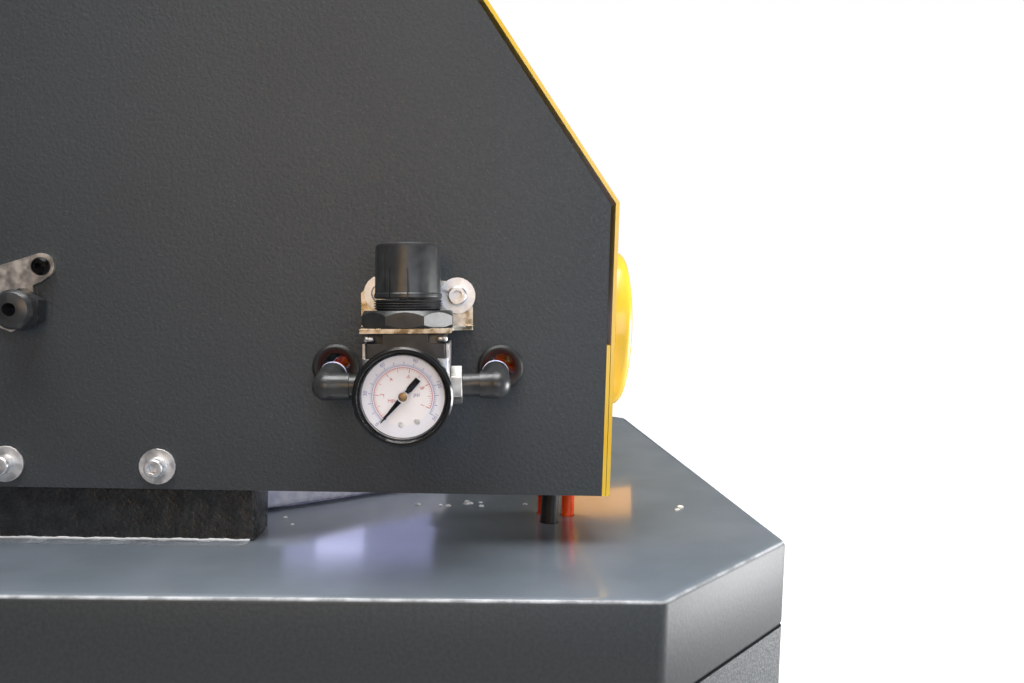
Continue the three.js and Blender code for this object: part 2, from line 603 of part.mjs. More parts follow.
function nutBody() {
  const [z0, z1] = [FLANGE_Z + 2.6, FLANGE_Z + 10.8];
  const h = z1 - z0;
  const sides = Array.from({ length: 8 }, (_, i) => {
    const t = ((i + 0.5) * Math.PI) / 4;
    return [REG.x + 23.8 * Math.cos(t), REG.y + 23.8 * Math.sin(t)];
  });
  const chamfers = [[0, 0], [22.2, 0], [23.8, 1.4], [23.8, h - 2.6], [21.4, h], [0, h]];
  const scallop = turned(chamfers, '+z', [REG.x, REG.y, z0], 32);
  const bore = rod(15.6, h + 4, '+z', [REG.x, REG.y, z0 - 2], 28);
  return lean(cut(plate('z', z0, z1, sides).intersect(scallop), bore));
}
blackPlastic('regulator_nut', nutBody());

const KNOB_LOW = 889.8;
function knobBody() {
  const body = turned([
    [0, 0], [16.2, 0], [16.8, 0.7], [16.7, 2.4], [16.3, 2.9],
    [15.9, 25], [15.4, 26.4], [14.2, 27.2], [0, 27.6],
  ], '+z', [REG.x, REG.y, KNOB_LOW], 36);
  // A slot in the knob's side at a bearing from +X, between two heights.
  const slot = (bearing, width, radius, low, high) => {
    const g = new THREE.BoxGeometry(2, width, high - low).translate(radius + 1, 0, (low + high) / 2);
    g.rotateZ(THREE.MathUtils.degToRad(bearing)).translate(REG.x, REG.y, KNOB_LOW);
    return solid(g);
  };
  const short = [152.4, 183.7, 332.4, 3.7].map((t) => slot(t, 0.7, 15.6, -1, 14));
  const long = [141.5, 246.2, 321.5, 66.2].map((t) => slot(t, 0.4, 15.85, 3.2, 24));
  return lean(cut(body, ...short, ...long));
}
blackPlastic('regulator_knob', knobBody());

function gaugeCase() {
  return turned([
    [0, 0], [4.6, 0], [4.6, 9.8], [19, 9.8], [21, 12], [21, 26.4], [22.15, 27], [22.15, 34.4], [21.3, 35.6],
    [20, 35.6], [19, 33.6], [18.75, 33.4], [18.75, 30.2], [0, 30.2],
  ], '-x', GAUGE(44.4), 40);
}
blackPlastic('gauge_case', gaugeCase());

addPart('gauge_dial', ring(1.3, 18.35, 0.9, '-x', GAUGE(74.9), 40), 0xf2f2f0, 0.0, 0.5);

const NEEDLE_ANGLE = Math.atan2(-0.775, 0.632);
function needleBody() {
  const [c, s] = [Math.cos(NEEDLE_ANGLE), Math.sin(NEEDLE_ANGLE)];
  const along = (a, b) => [GAUGE_Y + a * c - b * s, REG.z + a * s + b * c];
  const shape = [
    [15.2, -0.25], [15.2, 0.25], [2, 1.15], [-1, 1.3], [-2, 0.9], [-3.6, 1.0], [-4, 1.35], [-10.3, 1.35],
    [-10.3, -1.35], [-4, -1.35], [-3.6, -1.0], [-2, -0.9], [-1, -1.3], [2, -1.15],
  ].map(([a, b]) => along(a, b));
  const blade = plate('x', OUT(77.1), OUT(76.4), shape);
  return union(blade, rod(2.3, 1.3, '-x', GAUGE(76.2), 16), rod(0.9, 2, '-x', GAUGE(75), 12));
}
blackPlastic('gauge_needle', needleBody());
addPart('gauge_glass', rod(18.35, 0.9, '-x', GAUGE(77.8), 40), 0xffffff, 0.0, 0.05);

const HEX = 5.5; // length of the hexagon between the body and the front elbow
function hexFitting() {
  const y = REG.y - REG_HALF - GAP;
  const hex = hexPlate('y', y - HEX, y, [REG.z, REG.x], 17, 0);
  const spigot = rod(6, 9, '+y', [REG.x, y - 1, REG.z], 16);
  return lean(cut(union(hex, spigot), rod(3, 30, '+y', [REG.x, y - 8, REG.z], 12)));
}
steel('port_hex_front', hexFitting());

const SWIVEL = 12; // degrees the elbows point up, towards their grommets
function swivel(body, [x, y, z]) {
  return body.translate([-x, -y, -z]).rotate([0, -SWIVEL, 0]).translate([x, y, z]);
}

// An elbow that leaves the port along the side, away by `start` to `reach` from the stem axis, and
// turns in towards the panel. Its spigot goes `depth` back into the piece it screws into.
function elbow(side, start, reach, depth) {
  const [away, back] = side < 0 ? ['-y', '+y'] : ['+y', '-y'];
  const at = (d) => [REG.x, REG.y + side * d, REG.z];
  const shoulder = rod(5.9, reach - start, away, at(start), 16);
  const arm = rod(6.8, reach - start - 8.5, away, at(start + 8.5), 20);
  const ball = solid(new THREE.SphereGeometry(7.2, 18, 10).translate(...at(reach)));
  const pipe = (r, length) => rod(r, length, '+x', at(reach), 20);
  const legs = swivel(union(pipe(7.2, 18), pipe(6.5, 20.5)), at(reach));
  const spigot = rod(side < 0 ? 5.6 : 6, 1 + depth, back, at(start + 1), 16);
  const bore = swivel(rod(TUBE_R + 1.2, 18, '+x', [REG.x + 9, ...at(reach).slice(1)], 12), at(reach));
  return lean(cut(union(shoulder, arm, ball, legs, spigot), bore));
}
blackPlastic('elbow_front', elbow(-1, REG_HALF + HEX + 2 * GAP, ELBOW_FRONT, 0));
blackPlastic('elbow_rear', elbow(1, REG_HALF + GAP, ELBOW_REAR, 8));

// A tube from the bore of an elbow, through its grommet and down through the tray.
function airTube([elbowY, elbowZ], grommet, drop, bend) {
  const t = THREE.MathUtils.degToRad(SWIVEL);
  const along = (d, y = elbowY) => [REG.x + d * Math.cos(t), y, elbowZ + d * Math.sin(t)];
  return swept([
    along(11), along(16), along(22), along(31, (elbowY + grommet.y) / 2), ...bend,
    [drop.x, drop.y, 806], [drop.x, drop.y, 760], [drop.x, drop.y, 690],
  ], TUBE_R, 38, 5);
}
const ORANGE = 0xff5a14;
addPart('air_tube_front', airTube(leaning(-ELBOW_FRONT), GROMMET_FRONT, TUBE_FRONT_DROP, [
  [-222, -267, 856.5], [-205, -272, 854], [-185, -288, 843], [-174, -308, 824],
]), ORANGE, 0.0, 0.35);
addPart('air_tube_rear', airTube(leaning(ELBOW_REAR), GROMMET_REAR, TUBE_REAR_DROP, [
  [-222, -180, 854], [-203, -185, 856], [-178, -208, 852], [-166, -255, 842], [-166, -290, 826],
]), ORANGE, 0.0, 0.35);

function grommet({ y, z }) {
  return turned([
    [7.6, 0], [12.2, 0], [12.2, 3], [9.7, 3], [9.7, 6.6], [12.4, 6.6], [12.4, 8.6], [11, 10.2],
    [9.2, 9.8], [7.6, 8], [7.6, 0],
  ], '-x', [-HEAD_X + SHEET + GAP + 3, y, z], 24);
}
rubber('grommet_front', grommet(GROMMET_FRONT));
rubber('grommet_rear', grommet(GROMMET_REAR));

// ---- fasteners ----------------------------------------------------------------------------
// A socket cap screw with its wide washer, seated at distance d outside the left panel.
function washerScrew(y, z, d, shank) {
  const body = turned([
    [0, 0], [2.9, 0], [2.9, shank + d], [9.6, shank + d], [9.6, shank + d + 1.5], [5, shank + d + 1.5],
    [5, shank + d + 6.6], [4.3, shank + d + 7.4], [0, shank + d + 7.4],
  ], '-x', [-HEAD_X + shank, y, z], 22);
  const key = hexPlate('x', OUT(d + 8), OUT(d + 4.2), [y, z], 5, 0.3);
  return cut(body, key);
}
steel('bed_screw_front', washerScrew(BED_SCREWS[0], BED_SCREW_Z, GAP, 20));
steel('bed_screw_rear', washerScrew(BED_SCREWS[1], BED_SCREW_Z, GAP, 20));
steel('bracket_screw_front', washerScrew(BRACKET_SCREWS[0], BRACKET_SCREW_Z, 3, 8));
steel('bracket_screw_rear', washerScrew(BRACKET_SCREWS[1], BRACKET_SCREW_Z, 3, 8));

const PLATE = 2; // thickness of the gland's bracket
function glandBracket() {
  const [s, g] = [GLAND_SCREW, GLAND];
  const lobe = rod(6.6, PLATE, '-x', [OUT(GAP), s.y, s.z + 0.3], 28);
  const web = plate('x', OUT(PLATE + GAP), OUT(GAP), [
    [s.y + 1.8, s.z + 6.6], [s.y - 4.9, s.z - 4.1], [s.y, s.z - 8],
    [g.y - 3.1, g.z + 12.6], [g.y - 3.6, g.z - 0.3], [g.y - 1.5, g.z - 6.7], [g.y + 8, g.z - 12],
    [g.y + 24, g.z - 6], [g.y + 26, g.z + 12], [g.y + 14, 901],
  ]);
  const bolt = rod(3, 9, '+x', [OUT(6), s.y, s.z], 16);
  return cut(union(lobe, web), bolt, rod(7.4, 9, '+x', [OUT(6), g.y, g.z], 20));
}
steel('gland_bracket', glandBracket());

// A sealing gland: a threaded stem through the panel, a hexagon and a domed cap with a cable bore.
function glandBody() {
  const d = PLATE + 2 * GAP;
  const at = [-HEAD_X + 12, GLAND.y, GLAND.z];
  const stem = turned([
    [3.4, 0], [6.6, 0], [6.6, 12 + d + 6], [9.9, 12 + d + 6.2], [10.2, 12 + d + 12], [8.6, 12 + d + 14.4],
    [4, 12 + d + 15.5], [3.4, 12 + d + 15.5], [3.4, 0],
  ], '-x', at, 28);
  const flats = hexPlate('x', OUT(d + 6.5), OUT(d), [GLAND.y, GLAND.z], 19, 0.55);
  return union(stem, cut(flats, rod(5, 40, '-x', at, 16)));
}
blackPlastic('cable_gland', glandBody());

function buttonScrew() {
  const d = PLATE + 2 * GAP;
  const body = turned([
    [0, 0], [2.4, 0], [2.4, 8 + d], [4.8, 8 + d], [4.7, 9 + d], [3.6, 10.4 + d], [0, 10.9 + d],
  ], '-x', [-HEAD_X + 8, GLAND_SCREW.y, GLAND_SCREW.z], 20);
  return cut(body, hexPlate('x', OUT(d + 4), OUT(d + 1), [GLAND_SCREW.y, GLAND_SCREW.z], 3, 0.4));
}
blackPlastic('gland_screw', buttonScrew());

export default machine;
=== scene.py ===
# %% [markdown]
# # A wet grinding sharpener, dressed for a studio view
# The machine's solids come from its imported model, which fixes every size. This lesson adds what the
# solids lack: worn edges, paint, plating, rubber, printing and wet enamel. Each step names the real
# piece or finish first, then makes it.

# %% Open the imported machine
import json
import math

import bmesh
import bpy
import numpy as np
from mathutils import Matrix, Vector

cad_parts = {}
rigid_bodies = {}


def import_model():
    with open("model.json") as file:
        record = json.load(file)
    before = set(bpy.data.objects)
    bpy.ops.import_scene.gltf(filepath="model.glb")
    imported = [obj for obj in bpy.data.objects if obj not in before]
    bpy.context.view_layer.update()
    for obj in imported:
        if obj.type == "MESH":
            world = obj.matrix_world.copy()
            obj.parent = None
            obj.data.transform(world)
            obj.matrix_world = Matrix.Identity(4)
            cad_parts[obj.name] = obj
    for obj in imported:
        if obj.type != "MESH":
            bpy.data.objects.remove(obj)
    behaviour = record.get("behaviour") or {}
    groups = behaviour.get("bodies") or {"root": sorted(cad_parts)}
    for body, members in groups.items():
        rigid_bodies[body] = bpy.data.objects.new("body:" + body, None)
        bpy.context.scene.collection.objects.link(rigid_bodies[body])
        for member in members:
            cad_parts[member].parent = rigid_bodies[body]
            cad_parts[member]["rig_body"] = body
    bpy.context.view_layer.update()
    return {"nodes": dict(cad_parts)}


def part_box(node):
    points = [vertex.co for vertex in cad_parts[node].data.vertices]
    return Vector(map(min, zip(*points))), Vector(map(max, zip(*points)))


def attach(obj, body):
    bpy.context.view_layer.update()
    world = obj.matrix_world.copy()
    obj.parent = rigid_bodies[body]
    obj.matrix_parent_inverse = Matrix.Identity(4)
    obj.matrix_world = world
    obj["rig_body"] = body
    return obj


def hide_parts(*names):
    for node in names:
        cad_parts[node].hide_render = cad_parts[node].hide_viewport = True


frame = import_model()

BODY_OF = {n: o["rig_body"] for n, o in frame["nodes"].items()}

# %% [markdown]
# ## The camera
# The eye stands close to the left side panel, a little above the drip tray, and looks across the
# machine with a moderately wide lens. The camera's own axes are built from a turn to the front, a
# slight look down and a slight roll, so that the whole placement is three angles and one point.

# %% Place the camera
MM = 0.001
PANEL_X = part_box("side_panel_left")[0].x
PANEL_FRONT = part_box("side_panel_left")[0].y
DECK_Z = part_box("drip_tray")[1].z
EYE = Vector((PANEL_X - 419.4 * MM, PANEL_FRONT + 72.4 * MM, DECK_Z + 128.7 * MM))
TURN, DOWN, ROLL = 0.0498, 0.0484, 0.0282  # radians
IMAGE_WIDTH, FOCAL_WIDTHS, SENSOR = 1024, 777.05, 36.0


def eye_axes(turn, down, roll):
    """Right, up and forward of a camera that looks along +X, turned to -Y, tipped down, then rolled."""
    forward = Vector((math.cos(turn) * math.cos(down), -math.sin(turn) * math.cos(down), -math.sin(down)))
    level = Vector((-math.sin(turn), -math.cos(turn), 0.0))
    lift = level.cross(forward)
    right = level * math.cos(roll) + lift * math.sin(roll)
    return right, right.cross(forward), forward


right, up, forward = eye_axes(TURN, DOWN, ROLL)
camera = bpy.data.objects.new("camera", bpy.data.cameras.new("camera"))
bpy.context.scene.collection.objects.link(camera)
camera.matrix_world = Matrix((
    (right.x, up.x, -forward.x, EYE.x),
    (right.y, up.y, -forward.y, EYE.y),
    (right.z, up.z, -forward.z, EYE.z),
    (0, 0, 0, 1),
))
camera.data.sensor_width = SENSOR
camera.data.lens = FOCAL_WIDTHS / IMAGE_WIDTH * SENSOR
camera.data.clip_start, camera.data.clip_end = 0.01, 100.0
bpy.context.scene.camera = camera
bpy.context.scene.view_settings.view_transform = "Standard"
print("lens, mm:", round(camera.data.lens, 2))

# %% [markdown]
# ## Tools for materials
# Every finish is a small tree of shader nodes. One function adds a node, sets its own settings and
# either links or fills its sockets. Another turns a paint-chart colour into linear light, which is
# what the renderer works in.

# %% Helpers for shader trees


def linear(code, alpha=1.0):
    """An sRGB hex colour as linear red, green, blue and alpha."""
    srgb = np.array([int(code[i:i + 2], 16) for i in (1, 3, 5)]) / 255
    light = np.where(srgb <= 0.04045, srgb / 12.92, ((srgb + 0.055) / 1.055) ** 2.4)
    return (*light.tolist(), alpha)


def add(tree, kind, settings=None, **sockets):
    """Adds one shader node. A socket is named, or numbered as _0, _1; a socket value is linked."""
    made = tree.nodes.new("ShaderNode" + kind)
    for key, value in (settings or {}).items():
        setattr(made, key, value)
    for key, value in sockets.items():
        place = made.inputs[int(key[1:])] if key[0] == "_" else made.inputs[key.replace("_", " ")]
        if isinstance(value, bpy.types.NodeSocket):
            tree.links.new(value, place)
        else:
            place.default_value = value
    return made


def start_material(name, **surface):
    """A new material with one Principled surface, and the Object coordinates that patterns read."""
    made = bpy.data.materials.new(name)
    made.use_nodes = True
    tree = made.node_tree
    tree.nodes.clear()
    shader = add(tree, "BsdfPrincipled", **surface)
    output = add(tree, "OutputMaterial")
    tree.links.new(shader.outputs[0], output.inputs[0])
    place = add(tree, "TexCoord").outputs["Object"]
    return made, tree, shader, place


def per_metre(size_mm):
    """The scale of a noise whose grain is size_mm across, on coordinates in metres."""
    return 1000.0 / size_mm


def grain(tree, place, size_mm, detail=3.0, rough=0.55):
    """A noise value with grain of a real size."""
    noise = add(tree, "TexNoise", Vector=place, Scale=per_metre(size_mm), Detail=detail, Roughness=rough)
    return noise.outputs[0]


def between(tree, value, low, high, start=0.35, end=0.65):
    """A value stretched from [start, end] to [low, high]."""
    made = add(tree, "MapRange", Value=value, From_Min=start, From_Max=end, To_Min=low, To_Max=high)
    return made.outputs[0]


def tint(tree, factor, dark, light):
    """Two paint colours mixed by a factor."""
    made = add(tree, "Mix", {"data_type": "RGBA"}, _0=factor, _6=dark, _7=light)
    return made.outputs[2]


def raise_surface(tree, shader, height, strength, depth_mm):
    """Lets a height pattern of a real depth catch the light."""
    bump = add(tree, "Bump", Strength=strength, Distance=depth_mm * MM, Height=height)
    tree.links.new(bump.outputs[0], shader.inputs["Normal"])
    return bump


def feed(tree, shader, name, value):
    """Links a node's output to one of the surface's named inputs."""
    tree.links.new(value, shader.inputs[name])


# %% [markdown]
# ## Paint
# The side panels and the cabinet are sheet steel with a *powder coat*: the powder melts into a skin
# with a fine leather-like orange peel, about a millimetre and a half from bump to bump. It is
# nearly matt, so broad lights leave only a soft sheen.

# %% Dark powder coat
powder_coat, tree, shader, place = start_material(
    "powder_coat_dark_grey_leather_texture", Roughness=0.5, IOR=1.5,
)
peel = grain(tree, place, 1.9, 2.0, 0.6)
cloud = grain(tree, place, 160, 2.0)
speck = grain(tree, place, 0.9, 1.0)
shade = tint(tree, between(tree, cloud, 0, 1), linear("#363b3f"), linear("#3b4145"))
fleck = tint(tree, between(tree, speck, 0.0, 0.35, 0.62, 0.8), shade, linear("#686d6e"))
feed(tree, shader, "Base Color", fleck)
feed(tree, shader, "Roughness", between(tree, peel, 0.42, 0.62))
raise_surface(tree, shader, peel, 0.75, 0.38)
print("finish:", powder_coat.name)

# %% [markdown]
# The drip tray has the same grey under a *wet enamel* gloss: coolant keeps it shiny, so it mirrors
# the hoses and the hood. Its edges are rubbed bright where sleeves and buckets drag over them.

# %% Wet enamel on the tray
tray_enamel, tree, shader, place = start_material(
    "wet_enamel_with_painted_light_over_leather_powder_coat", IOR=1.5, Coat_Roughness=0.13, Coat_IOR=1.7,
)
facing = add(tree, "SeparateXYZ", _0=add(tree, "TexCoord").outputs["Normal"]).outputs[2]
# Up-facing surfaces: they take the wet coat, and their colour is painted lighter as painted light.
wet_and_lit_top = add(tree, "MapRange", Value=facing, From_Min=0.8, From_Max=0.97).outputs[0]
lip = add(tree, "MapRange", Value=facing, From_Min=0.45, From_Max=0.7).outputs[0]
dry = add(tree, "Math", {"operation": "SUBTRACT"}, _0=1.0, _1=wet_and_lit_top).outputs[0]
edge = add(tree, "Math", {"operation": "MULTIPLY"}, _0=lip, _1=dry).outputs[0]
wash = grain(tree, place, 60, 3.0)
dimple = grain(tree, place, 7, 2.0)
peel = grain(tree, place, 1.9, 2.0, 0.6)
rub = between(tree, grain(tree, place, 14, 3.0, 0.6), 0.45, 1.0, 0.4, 0.6)
# Painted light and shade: a lighter grey for the top and a darker grey for the sides, by facing.
side_painted_shade = tint(tree, between(tree, peel, 0, 1), linear("#2e3335"), linear("#363b3d"))
top_painted_light = tint(tree, between(tree, wash, 0, 1), linear("#6a737c"), linear("#78818b"))
top_lit_side_shaded_paint = tint(tree, wet_and_lit_top, side_painted_shade, top_painted_light)
# The pale rim bevel is partly rubbed wear and partly a painted highlight where the bevel faces up.
wear_and_painted_highlight = add(tree, "Math", {"operation": "MULTIPLY"}, _0=edge, _1=rub).outputs[0]
feed(tree, shader, "Base Color", tint(tree, wear_and_painted_highlight, top_lit_side_shaded_paint, linear("#b4b8bc")))
feed(tree, shader, "Coat Weight", wet_and_lit_top)
feed(tree, shader, "Roughness", add(tree, "MapRange", Value=wet_and_lit_top, To_Min=0.5, To_Max=0.34).outputs[0])
ripple = add(tree, "Math", {"operation": "MULTIPLY"}, _0=dimple, _1=wet_and_lit_top).outputs[0]
leather = add(tree, "Math", {"operation": "MULTIPLY_ADD"}, _0=peel, _1=dry, _2=ripple).outputs[0]
raise_surface(tree, shader, leather, 0.3, 0.25)
print("finish:", tray_enamel.name)

# %% Signal-yellow gloss coat
yellow_coat, tree, shader, place = start_material(
    "gloss_powder_coat_signal_yellow", Roughness=0.32, IOR=1.5, Coat_Weight=0.6, Coat_Roughness=0.15,
)
wash = grain(tree, place, 40, 2.0)
peel = grain(tree, place, 2.4, 2.0)
feed(tree, shader, "Base Color", tint(tree, between(tree, wash, 0, 1), linear("#f4c62e"), linear("#ffd848")))
raise_surface(tree, shader, peel, 0.2, 0.15)

# %% [markdown]
# The bed and column are iron castings, brushed with thick machine enamel. The brush leaves lumps
# some 8 mm apart over the sand-cast skin, and the colour is darker between them than on them.

# %% Brushed enamel over a sand casting
casting, tree, shader, place = start_material("brushed_enamel_over_sand_casting", Roughness=0.35, IOR=1.5)
lump = grain(tree, place, 9.0, 4.0, 0.6)
skin = grain(tree, place, 2.0, 3.0, 0.7)
height = add(tree, "Math", {"operation": "MULTIPLY_ADD"}, _0=skin, _1=0.3, _2=lump).outputs[0]
feed(tree, shader, "Base Color", tint(tree, between(tree, lump, 0, 1), linear("#15181a"), linear("#272b2d")))
feed(tree, shader, "Roughness", between(tree, skin, 0.2, 0.42))
raise_surface(tree, shader, height, 0.55, 2.0)

# %% [markdown]
# ## Metals
# Bright zinc and nickel plate are close to white metal. The plate is thin, so it follows the fine
# marks of the part under it, and its gloss changes over a few millimetres where hands touch it.

# %% Plated and bare metals


def plated(name, dark, light, low, high, mark_mm, depth_mm):
    """A plated metal: two near colours in clouds, gloss between low and high, and fine marks."""
    made, tree, shader, place = start_material(name, Metallic=1.0)
    cloud = grain(tree, place, 6.0, 3.0)
    mark = grain(tree, place, mark_mm, 2.0)
    feed(tree, shader, "Base Color", tint(tree, between(tree, cloud, 0, 1), linear(dark), linear(light)))
    feed(tree, shader, "Roughness", between(tree, cloud, low, high))
    raise_surface(tree, shader, mark, 0.25, depth_mm)
    return made


zinc = plated("bright_zinc_plated_steel", "#d0d2d4", "#f2f3f4", 0.34, 0.55, 0.5, 0.05)
nickel = plated("nickel_plated_brass", "#c4c1bc", "#e6e4e0", 0.3, 0.5, 0.6, 0.03)
die_cast = plated("blasted_die_cast_aluminium", "#b4b6b8", "#dfe0e1", 0.32, 0.5, 0.45, 0.06)
chromate = plated("yellow_chromate_on_zinc", "#b8a888", "#e0dcd4", 0.2, 0.4, 1.6, 0.04)
black_oxide = plated("black_oxide_steel", "#1a1b1d", "#2b2c2e", 0.3, 0.45, 0.5, 0.03)
brass = plated("turned_brass", "#b48a3c", "#cfa95b", 0.2, 0.35, 0.5, 0.03)

# %% [markdown]
# ## Plastics and rubber
# The regulator's knob, nut and elbows are glass-filled nylon, moulded in a lightly eroded tool, so
# they are black with a grey bloom. The grommets and the hose are carbon-black rubber.

# %% Moulded and extruded polymers


def moulded(name, dark, light, low, high, grain_mm, depth_mm, **surface):
    """A moulded plastic: near-even colour with a bloom, and the mould's fine texture."""
    made, tree, shader, place = start_material(name, **surface)
    bloom = grain(tree, place, 7.0, 3.0)
    texture = grain(tree, place, grain_mm, 2.0)
    feed(tree, shader, "Base Color", tint(tree, between(tree, bloom, 0, 1), linear(dark), linear(light)))
    feed(tree, shader, "Roughness", between(tree, texture, low, high))
    raise_surface(tree, shader, texture, 0.3, depth_mm)
    return made


black_nylon = moulded("moulded_black_nylon", "#272829", "#383a3b", 0.28, 0.42, 0.5, 0.03, IOR=1.53)
gloss_black = moulded("gloss_black_abs", "#101112", "#1a1b1c", 0.12, 0.22, 0.9, 0.01, IOR=1.53)
black_rubber = moulded("black_rubber", "#151515", "#202122", 0.42, 0.62, 0.7, 0.04, IOR=1.52)
red_abs = moulded("moulded_red_abs", "#a80f0c", "#c41a12", 0.2, 0.32, 0.6, 0.02, IOR=1.53)
green_abs = moulded("moulded_green_abs", "#0f7a3a", "#159347", 0.2, 0.32, 0.6, 0.02, IOR=1.53)
blue_vinyl = moulded("dipped_blue_vinyl", "#173f8a", "#1f4fa3", 0.25, 0.4, 1.2, 0.05, IOR=1.5)
lilac_acetal = moulded("moulded_lilac_acetal", "#c3c6e6", "#dcdff2", 0.3, 0.4, 0.5, 0.01, IOR=1.48)
pale_pvc = moulded("extruded_pale_pvc", "#c9cbe2", "#e6e7f4", 0.2, 0.35, 4.0, 0.05, IOR=1.5)
light_grey_coat = moulded("light_grey_powder_coat", "#b9bbb9", "#c7c9c6", 0.45, 0.6, 1.4, 0.12, IOR=1.5)
motor_enamel = moulded("blue_grey_motor_enamel", "#33454f", "#3d515c", 0.3, 0.45, 1.8, 0.15, IOR=1.5)
grit_wheel = moulded("bonded_aluminium_oxide_grit", "#6e6247", "#9c8f6d", 0.75, 0.95, 0.6, 0.35, IOR=1.7)
orange_tube = moulded(
    "extruded_orange_polyurethane", "#ff4a08", "#ff5a12", 0.18, 0.28, 3.0, 0.02,
    IOR=1.5, Subsurface_Weight=0.25,
)
orange_shader = orange_tube.node_tree.nodes["Principled BSDF"]
orange_shader.inputs["Subsurface Radius"].default_value = (1.0, 0.35, 0.1)
orange_shader.inputs["Subsurface Scale"].default_value = 2 * MM

# %% [markdown]
# ## Clear plastics
# The gauge lens and the hood window are clear sheet. Light must reach what lies behind them, so
# shadow rays pass straight through while the eye still sees the sheet's gloss.

# %% Clear sheet


def clear_sheet(name, colour, roughness):
    """A clear plastic with a faint haze, which lets shadow rays through."""
    made, tree, shader, place = start_material(name, IOR=1.49, Roughness=roughness, Transmission_Weight=1.0)
    haze = grain(tree, place, 12.0, 3.0)
    feed(tree, shader, "Base Color", tint(tree, haze, linear(colour), linear("#ffffff")))
    open_way = add(tree, "BsdfTransparent")
    shadow = add(tree, "LightPath").outputs["Is Shadow Ray"]
    mixed = add(tree, "MixShader", _0=shadow, _1=shader.outputs[0], _2=open_way.outputs[0])
    output = next(n for n in tree.nodes if n.type == "OUTPUT_MATERIAL")
    tree.links.new(mixed.outputs[0], output.inputs[0])
    return made


gauge_lens = clear_sheet("clear_styrene_lens", "#f4f8fb", 0.02)
window_sheet = clear_sheet("clear_polycarbonate_sheet", "#dfeaf0", 0.04)

# %% [markdown]
# ## Pieces from the machine's solids
# A solid from the model has knife edges and flat facets. Real parts have broken edges, which catch
# a thin line of light. A welded copy takes a small bevel and smooth shading, rides where the solid
# rides and stands for it.

# %% Finish a solid


def finished(name, material, bevel_mm=0.0, smooth_deg=35.0, segments=2):
    """A welded, bevelled, smoothly shaded copy of one solid, which stands for it."""
    solid = frame["nodes"][name]
    shape = bmesh.new()
    shape.from_mesh(solid.data)
    bmesh.ops.remove_doubles(shape, verts=shape.verts, dist=5e-6)
    bmesh.ops.dissolve_limit(shape, angle_limit=math.radians(0.7), verts=shape.verts, edges=shape.edges)
    mesh = bpy.data.meshes.new(name + "_skin")
    shape.to_mesh(mesh)
    shape.free()
    mesh.polygons.foreach_set("use_smooth", np.ones(len(mesh.polygons), bool))
    mesh.set_sharp_from_angle(angle=math.radians(smooth_deg))
    mesh.materials.append(material)
    piece = bpy.data.objects.new(name + "_skin", mesh)
    bpy.context.scene.collection.objects.link(piece)
    if bevel_mm:
        edge = piece.modifiers.new("broken_edges", "BEVEL")
        edge.width, edge.segments = bevel_mm * MM, segments
        edge.limit_method, edge.angle_limit = "ANGLE", math.radians(smooth_deg)
        edge.harden_normals = True
    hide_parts(name)
    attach(piece, BODY_OF[name])
    return piece


def painted(name, material):
    """The solid itself, with a real finish in its material slot."""
    frame["nodes"][name].material_slots[0].material = material


for name in ("side_panel_left", "side_panel_right", "rear_cover", "cabinet", "cabinet_door", "coolant_tank"):
    painted(name, powder_coat)
for name in ("hood", "front_apron"):
    painted(name, yellow_coat)
painted("hood_window", window_sheet)
painted("gauge_glass", gauge_lens)
painted("display", gloss_black)
painted("control_box", light_grey_coat)

SKINS = {
    "drip_tray": (tray_enamel, 0, 40), "bed_casting": (casting, 1.5, 40), "column": (casting, 2, 40),
    "vertical_slide": (casting, 1, 40), "grinding_head": (casting, 1, 35), "blade_carriage": (casting, 1, 35),
    "hood_dome": (yellow_coat, 0.3, 60), "hood_handle": (black_nylon, 0.8, 40),
    "wheel_guard": (powder_coat, 0.5, 25), "grinding_motor": (motor_enamel, 0.8, 30),
    "coolant_pump": (motor_enamel, 0.8, 30), "spindle": (zinc, 0.4, 30),
    "grinding_wheel": (grit_wheel, 0.4, 30),
    "blade_arbor": (zinc, 0.5, 30), "clamp_knob": (black_nylon, 1, 30), "index_finger": (zinc, 0.3, 30),
    "door_latch": (zinc, 0.3, 30), "coolant_valve": (brass, 0.6, 30), "valve_lever": (blue_vinyl, 0.8, 30),
    "coolant_nozzle": (nickel, 0.3, 50), "coolant_pipe": (pale_pvc, 0.5, 50),
    "coolant_hose": (black_rubber, 0, 50), "estop_button": (red_abs, 0.5, 50),
    "start_button": (green_abs, 0.4, 50), "stop_button": (red_abs, 0.4, 50),
    "main_switch": (black_nylon, 0.8, 35), "regulator_bracket": (chromate, 0.35, 35),
    "regulator_body": (die_cast, 0.5, 40), "regulator_bonnet": (black_nylon, 0.25, 35),
    "regulator_nut": (black_nylon, 0.35, 25), "regulator_knob": (black_nylon, 0.15, 30),
    "gauge_case": (gloss_black, 0.2, 40), "port_hex_front": (nickel, 0.4, 30),
    "elbow_front": (black_nylon, 0.4, 42), "elbow_rear": (black_nylon, 0.4, 42),
    "air_tube_front": (orange_tube, 0, 60), "air_tube_rear": (orange_tube, 0, 60),
    "grommet_front": (black_rubber, 0.4, 50), "grommet_rear": (black_rubber, 0.4, 50),
    "bed_screw_front": (zinc, 0.25, 30), "bed_screw_rear": (zinc, 0.25, 30),
    "bracket_screw_front": (zinc, 0.25, 30), "bracket_screw_rear": (zinc, 0.25, 30),
    "gland_bracket": (nickel, 0.4, 30), "cable_gland": (black_nylon, 0.4, 35),
    "gland_screw": (black_oxide, 0.3, 35),
    "gauge_needle": (black_oxide, 0, 30),
}
skins = {name: finished(name, *how) for name, how in SKINS.items()}
print("finished solids:", len(skins))

# %% [markdown]
# ## Surfaces from formulas
# The small pieces that the solids lack are surfaces over a grid of two parameters. One function
# turns a grid of points into a mesh, welds its seams and poles, and turns its faces outwards.

